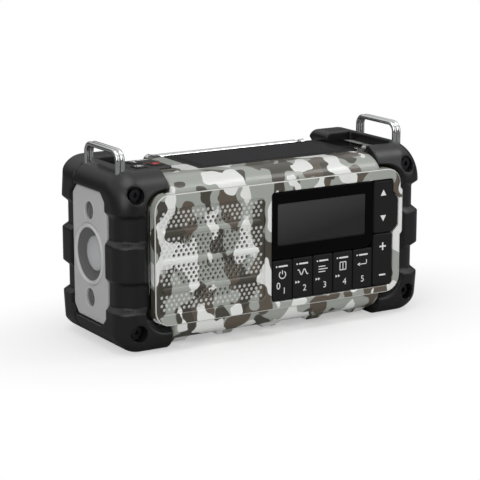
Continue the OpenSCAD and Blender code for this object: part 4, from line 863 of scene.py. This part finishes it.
def stroke(path, width):
    """Outline of a line of the given width along an open path."""
    path = np.asarray(path, float)
    ahead = unit(np.gradient(path, axis=0))
    side = np.stack([-ahead[:, 1], ahead[:, 0]], 1) * width / 2
    return np.concatenate([path - side, (path + side)[::-1]])


def straight(*ends):
    """A thin line from point to point, in short steps."""
    return stroke(np.concatenate([np.linspace(a, b, 4) for a, b in zip(ends[:-1], ends[1:])]), line_w)


def printed(outline, depth):
    """A mark as a thin film of ink on a face at the given depth."""
    return slab(outline, depth - ink_root, depth + ink_t, edge=0.02, steps=1, back_edge=0.0)


def numeral(text, size, centre, depth):
    """A plain numeral from Blender's own face, as ink of about the same thickness."""
    curve = bpy.data.curves.new("numeral", "FONT")
    curve.body, curve.size, curve.align_x, curve.align_y = text, size, "CENTER", "CENTER"
    curve.extrude = 0.03
    holder = linked("numeral", curve)
    mesh = bpy.data.meshes.new_from_object(holder.evaluated_get(bpy.context.evaluated_depsgraph_get()))
    points = np.array([tuple(v.co) for v in mesh.vertices]) + (*centre, depth + 0.02)
    faces = [tuple(p.vertices) for p in mesh.polygons]
    bpy.data.objects.remove(holder)
    bpy.data.curves.remove(curve)
    bpy.data.meshes.remove(mesh)
    return points, faces


def marks_piece(name, side, marks, body="radio", ink="white_ink"):
    """Printed marks on one side of the radio as a piece."""
    piece(name, facing(side, *marks), ink, body=body)


def front_cap(name, node, body, outline, lo, hi):
    """A black moulding on the front, as deep as its node."""
    piece(name, facing("front", slab(outline, -hi[1], -lo[1], edge=0.6)), "key_abs", node, body=body)


# %% Display
lcd_lo, lcd_hi = node_box("lcd_module")
bezel, screen_gap, screen_r = 1.5, 0.1, 0.8
screen_lo, screen_hi = lcd_lo[[0, 2]] + bezel, lcd_hi[[0, 2]] - bezel
window_edge = rectangle(window_lo[[0, 2]], window_hi[[0, 2]], [1, 6, 2, 2])
window_slab = slab(window_edge, -window_hi[1], -window_lo[1], holes=[rectangle(screen_lo, screen_hi, screen_r)])
piece("display_window_skin", facing("front", window_slab), "black_acrylic", "display_window")
screen = slab(rectangle(lcd_lo[[0, 2]], lcd_hi[[0, 2]], 1.0), -lcd_hi[1], -window_hi[1], edge=0.1)
glass = slab(rectangle(screen_lo + screen_gap, screen_hi - screen_gap, screen_r),
             -window_hi[1] - 0.2, -window_lo[1] - 0.35, edge=0.1)
piece("lcd_glass", facing("front", screen, glass), "lcd_glass_painted_reflection", "lcd_module")
print("display:", np.round(screen_hi - screen_lo, 1), "mm")

# %% Keys
# Each key carries a symbol, drawn in millimetres about its own middle, a plain number, a bar and a dot.
symbols = [
    [stroke(arc((0, 0), 2.1, 125, 415), 0.55), straight((0, 0.2), (0, 2.5))],
    [stroke([(t, 1.5 * math.sin(t * 1.6)) for t in np.linspace(-3.4, 3.4, 40)], 0.55)],
    [straight((-3, k), (3 - abs(k), k)) for k in (-1.5, 0, 1.5)],
    [straight((-2, k), (2, k)) for k in (-2.2, 2.2)] + [straight((k, -2.2), (k, 2.2)) for k in (-2, 0, 2)],
    [straight((-2.4, -0.6), (2.6, -0.6)), straight((2.6, -0.6), (2.6, 1.8)),
     np.array([(-3.6, -0.6), (-1.8, -1.7), (-1.8, 0.5)])],
]
chevron = np.array([(-0.7, -0.8), (0.7, 0), (-0.7, 0.8)])
shares_down = np.array([0.36, 0.77, 0.64, 0.6, 0.13, 0.17])  # of the key's height, from its top
for i, (lo, hi) in enumerate(key_boxes):
    body = f"key_{i + 1}"
    front_cap(f"{body}_cap", body, body, rectangle(lo[[0, 2]], hi[[0, 2]], [2 if i == 0 else 1, 1, 1, 1]), lo, hi)
    cx, depth = (lo[0] + hi[0]) / 2, -lo[1]
    symbol_z, number_z, zero_z, chevron_z, bar_z1, bar_z0 = hi[2] - shares_down * (hi[2] - lo[2])
    marks = [numeral(str(i + 1), 5.0, (cx + (0 if i == 4 else 1.2), number_z), depth),
             printed(rectangle((cx - 2.6, bar_z0), (cx + 3.4, bar_z1), 0.3), depth),
             printed(disc((cx - 3.8, (bar_z0 + bar_z1) / 2), 0.5, 12), depth)]
    if i == 0:
        marks.append(numeral("0", 5.4, (cx - 2.6, zero_z), depth))
    elif i < 4:
        marks += [printed(chevron + (cx - 4.2 + k, chevron_z), depth) for k in (0, 1.6)]
    marks += [printed(line + (cx, symbol_z), depth) for line in symbols[i]]
    marks_piece(f"{body}_marks", "front", marks, body)
print("keys:", len(key_boxes))

# %% Rockers
rocker_r = 1.5
tuning_edge = bulged((volume_lo[0], tuning_lo[2]), (volume_hi[0], tuning_hi[2]), rocker_r, rest_reach, 0.0)
front_cap("tuning_rocker_cap", "tuning_rocker", "tuning", tuning_edge, tuning_lo, tuning_hi)
volume_edge = rectangle(volume_lo[[0, 2]], volume_hi[[0, 2]], rocker_r)
front_cap("volume_rocker_cap", "volume_rocker", "volume", volume_edge, volume_lo, volume_hi)
rocker_x = (volume_lo[0] + volume_hi[0]) / 2
tuning_at = np.array([rocker_x, (tuning_lo[2] + tuning_hi[2]) / 2])
volume_at = np.array([rocker_x, (volume_lo[2] + volume_hi[2]) / 2])
arrow = np.array([(-1.9, -1.6), (1.9, -1.6), (0, 1.8)])
arrows = [arrow + tuning_at + (0, 8), arrow * (-1, -1) + tuning_at - (0, 6.5)]
marks_piece("tuning_marks", "front", [printed(mark, -tuning_lo[1]) for mark in arrows], "tuning")
bar, post = rectangle((-2.2, -0.45), (2.2, 0.45), 0.1), rectangle((-0.45, 0.45), (0.45, 2.2), 0.1)
signs = [mark + volume_at + (0, 7.5) for mark in (bar, post, post - (0, 2.65))] + [bar + volume_at - (0, 9)]
marks_piece("volume_marks", "front", [printed(mark, -tuning_lo[1]) for mark in signs], "volume")
print("rockers: tuning and volume")

# %% [markdown]
# ## Torch end
# A grey panel with cut corners fills the left bumper's window. It carries the torch, a turned bezel round a
# frosted lens, and a small lamp above and below. The right end has a like panel with sockets under a flap.

# %% Torch sizes
panel_lo, panel_hi = node_box("torch_panel")
lens_lo, lens_hi = node_box("torch_lens")
bezel_lo, bezel_hi = node_box("torch_bezel")
lamp_lo, lamp_hi = node_box("side_lamps")
panel_half, panel_cut, panel_edge_r = (panel_hi - panel_lo)[1:] / 2, 5.0, 0.9
torch_r, bezel_r, lamp_r = (box[1] / 2 for box in (lens_hi - lens_lo, bezel_hi - bezel_lo, lamp_hi - lamp_lo))
lamp_offset = (lamp_hi - lamp_lo)[2] / 2 - lamp_r
print("torch lens:", round(2 * torch_r, 1), "mm wide")


# %% Torch
def cut_panel(half, corner, centre):
    """Rectangle about a centre with its corners cut at 45 degrees."""
    (a, b), c = half, corner
    quarter = [(c - a, -b), (a - c, -b), (a, c - b), (a, b - c)]
    return rounded(np.array(quarter + [(-x, -z) for x, z in quarter]) + centre, 1.2, 3)


def on_left(profile, steps, offsets=(0,)):
    """Lathe work whose axis points out of the left end, once for each height above the middle."""
    points, faces = lathe(profile, steps)
    return facing("left", *((points + (-mid_y, mid_z + z, 0), faces) for z in offsets))


def domed(r, base, rim, top, steps):
    """Profile of a lens: a cylinder from base to rim, then a quarter ellipse up to top on the axis."""
    bow = [(r * math.cos(a), rim + (top - rim) * math.sin(a)) for a in np.linspace(0.1, math.pi / 2, steps)[:-1]]
    return [(0, base), (r, base), (r, rim), *bow, (0, top)]


both_lamps = (-lamp_offset, lamp_offset)
panel_holes = [disc((-mid_y, mid_z), bezel_r + 0.1, 64)]
panel_holes += [disc((-mid_y, mid_z + z), lamp_r + 0.1, 40) for z in both_lamps]
panel_slab = slab(cut_panel(panel_half, panel_cut, (-mid_y, mid_z)), -panel_hi[0], -panel_lo[0], edge=panel_edge_r,
                  holes=panel_holes, hole_edge=0.5)
piece("torch_panel_skin", facing("left", panel_slab), "grey_abs", "torch_panel")
out, base, deep, front = -bezel_lo[0], -bezel_hi[0], -panel_hi[0], -panel_lo[0]
seat, sleeve_r, lens_drop, bead_h = -lens_hi[0] + 1.6, torch_r + 2.6, 0.2, 0.6
ring = [(bezel_r - 2.3, deep), (bezel_r, deep), (bezel_r, out - 1.0), (bezel_r - 0.35, out - 0.35),
        (bezel_r - 1.0, out), (bezel_r - 1.7, out - 0.3), (bezel_r - 2.3, out - 0.9)]
cone = [(torch_r + 0.1, base), (sleeve_r, base), (sleeve_r, deep), (bezel_r - 2.35, deep),
        (bezel_r - 2.35, out - 1.2), (bezel_r - 3.4, out - 2.2), (torch_r + 1.5, seat + 0.5), (torch_r + 0.1, seat)]
rim = [(lamp_r + 0.06, front - 0.7), (lamp_r + 0.8, front - 0.7), (lamp_r + 0.75, front + 0.05),
       (lamp_r + 0.4, front + 0.2), (lamp_r + 0.06, front)]
dome = domed(torch_r, -lens_hi[0], seat - lens_drop, -lens_lo[0], 10)
bead = domed(lamp_r, -lamp_hi[0], -lamp_lo[0] - bead_h, -lamp_lo[0], 6)
# The ring and the lamp rims take a lighter grey than the panel, a painted highlight; the sunken cone takes a darker
# one, painted shade.
piece("torch_bezel_ring", on_left(ring, 96), "painted_highlight_grey_abs", "torch_bezel")
piece("torch_bezel_cone", on_left(cone, 96), "painted_shade_grey_abs")
piece("torch_lens_cover", on_left(dome, 72), "frosted_acrylic", "torch_lens")
piece("side_lamp_lenses", on_left(bead, 40, both_lamps), "smoked_acrylic", "side_lamps")
piece("side_lamp_rims", on_left(rim, 40, both_lamps), "painted_highlight_grey_abs")
print("torch end: panel, bezel, lens and two lamps")

# %% Right end
flap_lo, flap_hi = node_box("port_flap")
right_lo, right_hi = node_box("right_panel")
recess_depth, pin_r, pin_drop, pin_in = 2.1, 0.78, 0.8, 0.9
grip_start, grip_pitch, grip_w, grip_half, grip_root, grip_h = 3.0, 2.2, 1.2, 8.0, 0.6, 0.35
end_mid = np.array([mid_y, mid_z])
sockets = [rectangle(end_mid + (-7, 4.8), end_mid + (7, 11.2), 0.6),
           rectangle(end_mid - (4.7, 1.8), end_mid + (4.7, 1.8), 1.7), disc(end_mid - (0, 8), 3.0, 32)]
recess = rectangle((flap_lo[1] + 1.7, flap_lo[2] - 3), (flap_hi[1] - 1.7, flap_hi[2] + 1.1), 2.0)
right_edge, recess_x = cut_panel(panel_half, panel_cut, end_mid), right_hi[0] - recess_depth
floor_slab = slab(right_edge, right_lo[0], recess_x, edge=0.05, holes=sockets, steps=1)
rim_slab = slab(right_edge, recess_x, right_hi[0], edge=panel_edge_r, holes=[recess], hole_edge=0.4)
piece("right_panel_skin", facing("right", floor_slab, rim_slab), "grey_abs", "right_panel")
pin_x, pin_z = flap_hi[0] - pin_in, flap_hi[2] - pin_drop
flap_edge = rectangle((flap_lo[1] + 2, flap_lo[2]), (flap_hi[1] - 2, pin_z), [3, 3, 0.5, 0.5])
leaf = [slab(flap_edge, flap_lo[0], flap_hi[0], edge=0.6)]
for z in flap_lo[2] + grip_start + grip_pitch * np.arange(3):
    grip = rectangle((mid_y - grip_half, z), (mid_y + grip_half, z + grip_w), 0.5)
    leaf.append(slab(grip, flap_hi[0] - grip_root, flap_hi[0] + grip_h, edge=0.3))
trunnion = wire([(pin_x, flap_lo[1], pin_z), (pin_x, flap_hi[1], pin_z)], pin_r)
piece("port_flap_skin", merge(facing("right", *leaf), trunnion), "bumper_rubber", "port_flap", body="flap")
print("right end: panel with", len(sockets), "sockets, and flap")

# %% [markdown]
# ## Bails
# Each bail is one length of chromed wire, bent to a hairpin: two strands side by side, over the bumper and
# down into it at both ends.

# %% Bails
wire_r, bend_r, leg_gap = 1.35, 5.0, 0.05
for side in ("left", "right"):
    lo, hi = node_box(f"{side}_bail")
    (x0, y0, _), (x1, y1, top) = lo + wire_r, hi - wire_r
    foot = lo[2] + leg_gap
    strands = [wire(arc_path([(x, y0, foot), (x, y0, top), (x, y1, top), (x, y1, foot)], bend_r), wire_r, 16)
               for x in (x0, x1)]
    piece(f"{side}_bail_wire", merge(*strands), "chrome_plate", f"{side}_bail")
print("bails: 2")

# %% [markdown]
# ## Top
# The solar panel lies under a dark acrylic sheet, which a thin black film with a charging sign prolongs to
# the right. A rubber pad beside it carries three buttons.

# %% Solar panel
def solar_glass():
    """Dark lacquered glass: a plain border, and inside it cells with fine lines between and across them."""
    tree, where = new_material("solar_glass")
    split = put(tree, "SeparateXYZ", [(where, 0)])
    middle, half = (solar_lo + solar_hi) / 2000, (solar_hi - solar_lo) / 2000
    borders, cells, line_pitch_m = (0.006, 0.0045), 6, 0.0021
    pitches, shares = (2 * (half[0] - borders[0]) / cells, line_pitch_m), (0.035, 0.12)
    lines, inside = [], []
    for axis in (0, 1):
        out = maths(tree, "SUBTRACT", split.outputs[axis], middle[axis])
        part = maths(tree, "FRACT", maths(tree, "MULTIPLY", out, 1 / pitches[axis]))
        lines.append(maths(tree, "LESS_THAN", part, shares[axis]))
        inside.append(maths(tree, "LESS_THAN", maths(tree, "ABSOLUTE", out), half[axis] - borders[axis]))
    panel = blend(tree, maths(tree, "MAXIMUM", *lines), "#252326", "#2d2b2e")
    tone = blend(tree, maths(tree, "MULTIPLY", *inside), "#131212", panel)
    gloss = spread(tree, noise(tree, where, 60.0), 0.2, 0.28)
    surface(tree, dict(Base_Color=tone, Roughness=gloss), Specular_IOR_Level=0.18)


solar_glass()
sheet = slab(rectangle(solar_lo[:2], solar_hi[:2], 2.0), solar_lo[2], solar_hi[2], edge=0.5)
piece("solar_window_sheet", sheet, "solar_glass", "solar_window")
charge_lo, charge_hi = node_box("charge_lamp")
charge_at, charge_r = (charge_lo[:2] + charge_hi[:2]) / 2, (charge_hi[0] - charge_lo[0]) / 2
charge_hole = disc(charge_at, charge_r + 0.15, 24)
film_t, film_root, film_front, film_end = 0.12, 0.3, 0.4, 2.8
film_edge = rectangle((solar_hi[0] + fit, wing_y0 + film_front), (charge_hi[0] + film_end, solar_hi[1]), 0.8)
film_z = shell_z1 + film_t
film = slab(film_edge, shell_z1 - film_root, film_z, edge=0.05, holes=[charge_hole], steps=1)
piece("solar_end_film", film, "black_acrylic")
bolt = np.array([(0.35, 1.5), (-0.95, -0.15), (-0.1, -0.15), (-0.35, -1.5), (0.95, 0.15), (0.1, 0.15)])
bolt_at = ((solar_hi[0] + charge_lo[0]) / 2, charge_at[1])
marks_piece("charge_mark", "top", [printed(bolt + bolt_at, film_z)])
print("solar sheet and end film")

# %% Top buttons
bell = np.array([(-1.9, -1.6), (1.9, -1.6), (1.2, -0.9), (0.9, 1.2), (-0.9, 1.2), (-1.2, -0.9)])
lamp_head = np.array([(-0.55, 0.2), (0.55, 0.2), (1.3, 1.2), (-1.3, 1.2)])
bell_scale = 1.35
buttons = {
    "siren": [bell_scale * line for line in [bell] + [straight((1.9 * k, 1.0), (2.8 * k, 1.8)) for k in (-1, 1)]],
    "torch": [rectangle((-0.55, -2.4), (0.55, 0.1), 0.2), lamp_head]
             + [straight((0.6 * k, 1.6), (1.1 * k, 2.6)) for k in (-1, 1)],
    "light": [disc((0, 0), 1.1, 24)] + [straight(1.6 * ray, 2.6 * ray) for ray in on_circle(around(8))],
}
cap_t, cap_edge, stem_half, stem_lap = 1.5, 0.7, 1.2, 1.3
button_boxes = [node_box(f"{kind}_button") for kind in buttons]
button_holes = [rectangle(lo[:2] - fit, hi[:2] + fit, 2.2) for lo, hi in button_boxes]
pad = slab(rectangle(pad_lo[:2], pad_hi[:2], pad_r), pad_lo[2], pad_hi[2], edge=0.6, holes=button_holes)
piece("top_pad_skin", pad, "bumper_rubber", "top_pad")
for (kind, symbol), (lo, hi) in zip(buttons.items(), button_boxes):
    name, is_red = f"{kind}_button", kind == "siren"
    body, centre = "siren" if is_red else f"{kind}_switch", (lo[:2] + hi[:2]) / 2
    cap = slab(rectangle(lo[:2], hi[:2], 2.0), hi[2] - cap_t, hi[2], edge=cap_edge, steps=4)
    stem = slab(rectangle(centre - stem_half, centre + stem_half, 0.4), lo[2], hi[2] - stem_lap, edge=0.1, steps=1)
    piece(f"{name}_cap", merge(cap, stem), "key_abs", name, body=body)
    marks_piece(f"{name}_mark", "top", [printed(line + centre, hi[2]) for line in symbol], body,
                "red_ink" if is_red else "white_ink")
print("top buttons:", len(buttons))

# %% [markdown]
# ## Crank and battery door
# On the back, the crank lies in a round dish. Its arm has a slot that the knob folds into. The battery door
# is a flush plate with grip ribs.

# %% Crank
arm_lo, arm_hi = node_box("crank_arm")
arm_half, arm_tip_x, hub_r, hub_angle, slot_half, slot_wall = 8.8, arm_lo[0], 11.0, 53.13, 5.7, 2.4
grip_bore, grip_end, grip_wave, grip_margin = 2.05, 0.9, 0.35, 0.06


def behind(outline):
    """An outline given in x and z, seen from behind: x is mirrored and the order turned back."""
    return (outline * (-1, 1))[::-1]


crank_at = (crank_x, crank_z)
arm_path = np.concatenate([arc(crank_at, hub_r, -hub_angle, hub_angle, 24),
                           arc(crank_at, hub_r, hub_angle, 180 - hub_angle, 16)[1:],
                           arc((arm_tip_x + arm_half - 0.5, crank_z), arm_half, 90, 270, 30),
                           arc(crank_at, hub_r, 180 + hub_angle, 360 - hub_angle, 16)[:-1]])
slot_edge = rectangle((arm_tip_x + slot_wall, crank_z - slot_half), (crank_x - hub_r + 0.4, crank_z + slot_half), 2.0)
arm_slab = slab(behind(arm_path), arm_lo[1], arm_hi[1], edge=1.2,
                holes=[behind(slot_edge), behind(disc(crank_at, 4.0, 40))], hole_edge=0.5, steps=4)
piece("crank_arm_skin", facing("back", arm_slab), "key_abs", "crank_arm", body="crank")
knob_lo, knob_hi = node_box("crank_knob")
knob_l, knob_w, _ = knob_hi - knob_lo
knob_r, knob_mid = knob_w / 2, (knob_lo + knob_hi) / 2
waves = [(knob_r - grip_wave * (1 + math.cos(6 * math.pi * t)), knob_l * (grip_margin + (1 - 2 * grip_margin) * t))
         for t in np.linspace(0, 1, 40)]
grip = [(grip_bore, 0), (knob_r - grip_end, 0), *waves, (knob_r - grip_end, knob_l), (grip_bore, knob_l)]
knob_points, knob_faces = facing("right", lathe(grip, 48))
knob = knob_points + (knob_lo[0], knob_mid[1], knob_mid[2]), knob_faces
piece("crank_knob_grip", knob, "bumper_rubber", "crank_knob", body="knob")
print("crank arm:", round(arm_hi[0] - arm_lo[0], 1), "mm long")

# %% Battery door
skin_t, rib_top, rib_pitch, rib_h, rib_half = 0.8, 9.0, 2.4, 1.2, 9.0
door_edge = behind(rectangle(door_lo[[0, 2]], door_hi[[0, 2]], door_r))
door_x, ribs = (door_lo[0] + door_hi[0]) / 2, []
for z in door_hi[2] - rib_top - rib_pitch * np.arange(4):
    ribs.append(behind(rectangle((door_x - rib_half, z), (door_x + rib_half, z + rib_h), 0.55)))
door = slab(door_edge, door_lo[1], door_hi[1] - skin_t, edge=0.05, steps=1)
door_face = slab(door_edge, door_hi[1] - skin_t, door_hi[1], edge=0.6, holes=ribs, hole_edge=0.2)
piece("battery_door_skin", facing("back", door, door_face), "printed_abs", "battery_door", body="door")
print("battery door with", len(ribs), "ribs")

# %% [markdown]
# ## Pieces that keep their CAD shape
# Tubes, gears, screws and everything inside are already exact, so they only need their finish.

# %% Finishes for CAD nodes
keep = {
    "chrome_plate": ["antenna_base", "antenna_mast", "antenna_tube", "antenna_tip"],
    "blackened_steel": ["bumper_screws", "speaker_basket"],
    "turned_steel": ["crank_shaft", "crank_screw", "idler_axle", "gearbox_plate", "knob_pin", "knob_fork",
                     "generator_case", "generator_rotor", "port_block"],
    "sintered_brass": ["crank_bush"],
    "acetal": ["drive_gear", "idler_gear"],
    "circuit_board": ["main_board", "torch_board"],
    "silicone": ["shell_gasket", "key_mat"],
    "paper_cone": ["speaker_cone"],
    "ferrite": ["speaker_magnet"],
    "cell_sleeve": ["battery_cells"],
    "silvered_plastic": ["torch_reflector"],
    "silicon_cell": ["solar_cells"],
    "frosted_acrylic": ["charge_lamp"],
}
for material, names in keep.items():
    for name in names:
        nodes[name].data.materials.clear()
        nodes[name].data.materials.append(finish[material])
print("nodes that keep their shape:", sum(map(len, keep.values())))


# %% [markdown]
# ## Floor and light
# A pale floor runs back without a visible horizon. The camera sees it brighten away from the radio, so that
# only the shadow round the feet stays. The world is white for the camera, a dark room under a bright ceiling
# for mirror-like surfaces, and a plain soft grey for everything else. Four softboxes light the radio: one
# above, a small one for the upper edges, one from the left and one that fills from the right.

# %% Floor
def pale_floor():
    """Matt white card, which the camera sees turn to plain white from the oval under the radio outwards."""
    tree, where = new_material("white_card")
    rays = put(tree, "LightPath")
    card = put(tree, "BsdfPrincipled", [
        (blend(tree, rays.outputs["Is Glossy Ray"], "#fafafa", "#8c8c8c"), "Base Color"),
        (spread(tree, noise(tree, where, 300.0), 0.85, 0.95), "Roughness")])
    oval = put(tree, "Mapping", [(where, "Vector")], Scale=(0.55, 1.0, 1.0))
    away = put(tree, "VectorMath", [(oval.outputs[0], 0)], operation="LENGTH")
    far = spread(tree, away.outputs["Value"], 0.4, 1.0, 0.035, 0.11)
    seen = maths(tree, "MULTIPLY", far, rays.outputs["Is Camera Ray"])
    white = put(tree, "Emission")
    both = put(tree, "MixShader", [(seen, 0), (card.outputs[0], 1), (white.outputs[0], 2)])
    put(tree, "OutputMaterial", [(both.outputs[0], "Surface")])


pale_floor()
floor_half = 6
floor_mesh = bpy.data.meshes.new("floor")
corners = [(x * floor_half, y * floor_half, 0) for x, y in ((-1, -1), (1, -1), (1, 1), (-1, 1))]
floor_mesh.from_pydata(corners, [], [(0, 1, 2, 3)])
floor = linked("floor", floor_mesh)
floor.data.materials.append(finish["white_card"])
print("floor:", 2 * floor_half, "m wide")


# %% Lights
def soft_lamp(name, at, towards, size, power):
    """A square softbox that shines from one point towards another."""
    data = bpy.data.lights.new(name, "AREA")
    data.shape, data.size, data.energy = "SQUARE", size, power
    aimed(linked(name, data), at, Vector(towards) - Vector(at))


soft_lamp("top_softbox", (-0.2, -0.1, 1.1), (0, 0, 0), 0.6, 3.0)
soft_lamp("edge_softbox", (0.55, -0.2, 0.9), (0, 0, 0.05), 0.25, 1.4)
soft_lamp("left_softbox", (-1.0, -0.7, 0.6), (0, 0, 0.05), 0.8, 4.3)
soft_lamp("right_fill", (0.9, -1.0, 0.5), (0, 0, 0.05), 0.9, 3.3)
print("lamps:", len(bpy.data.lights))

# %% World
world = bpy.data.worlds.new("studio")
bpy.context.scene.world = world
world.use_nodes = True
tree = world.node_tree
tree.nodes.clear()
rays = put(tree, "LightPath")
seen = maths(tree, "MAXIMUM", rays.outputs["Is Camera Ray"], rays.outputs["Is Transmission Ray"])
height = put(tree, "SeparateXYZ", [(put(tree, "TexCoord").outputs["Generated"], 0)])
ceiling = spread(tree, height.outputs["Z"], 0.06, 0.8, 0.25, 0.5)
strength = put(tree, "Mix", [(rays.outputs["Is Glossy Ray"], 0), (spread(tree, seen, 0.36, 1.0), 2), (ceiling, 3)])
sky = put(tree, "Background", [(strength.outputs[0], "Strength")], Color=(1, 1, 1, 1))
put(tree, "OutputWorld", [(sky.outputs[0], "Surface")])
print("world:", world.name)
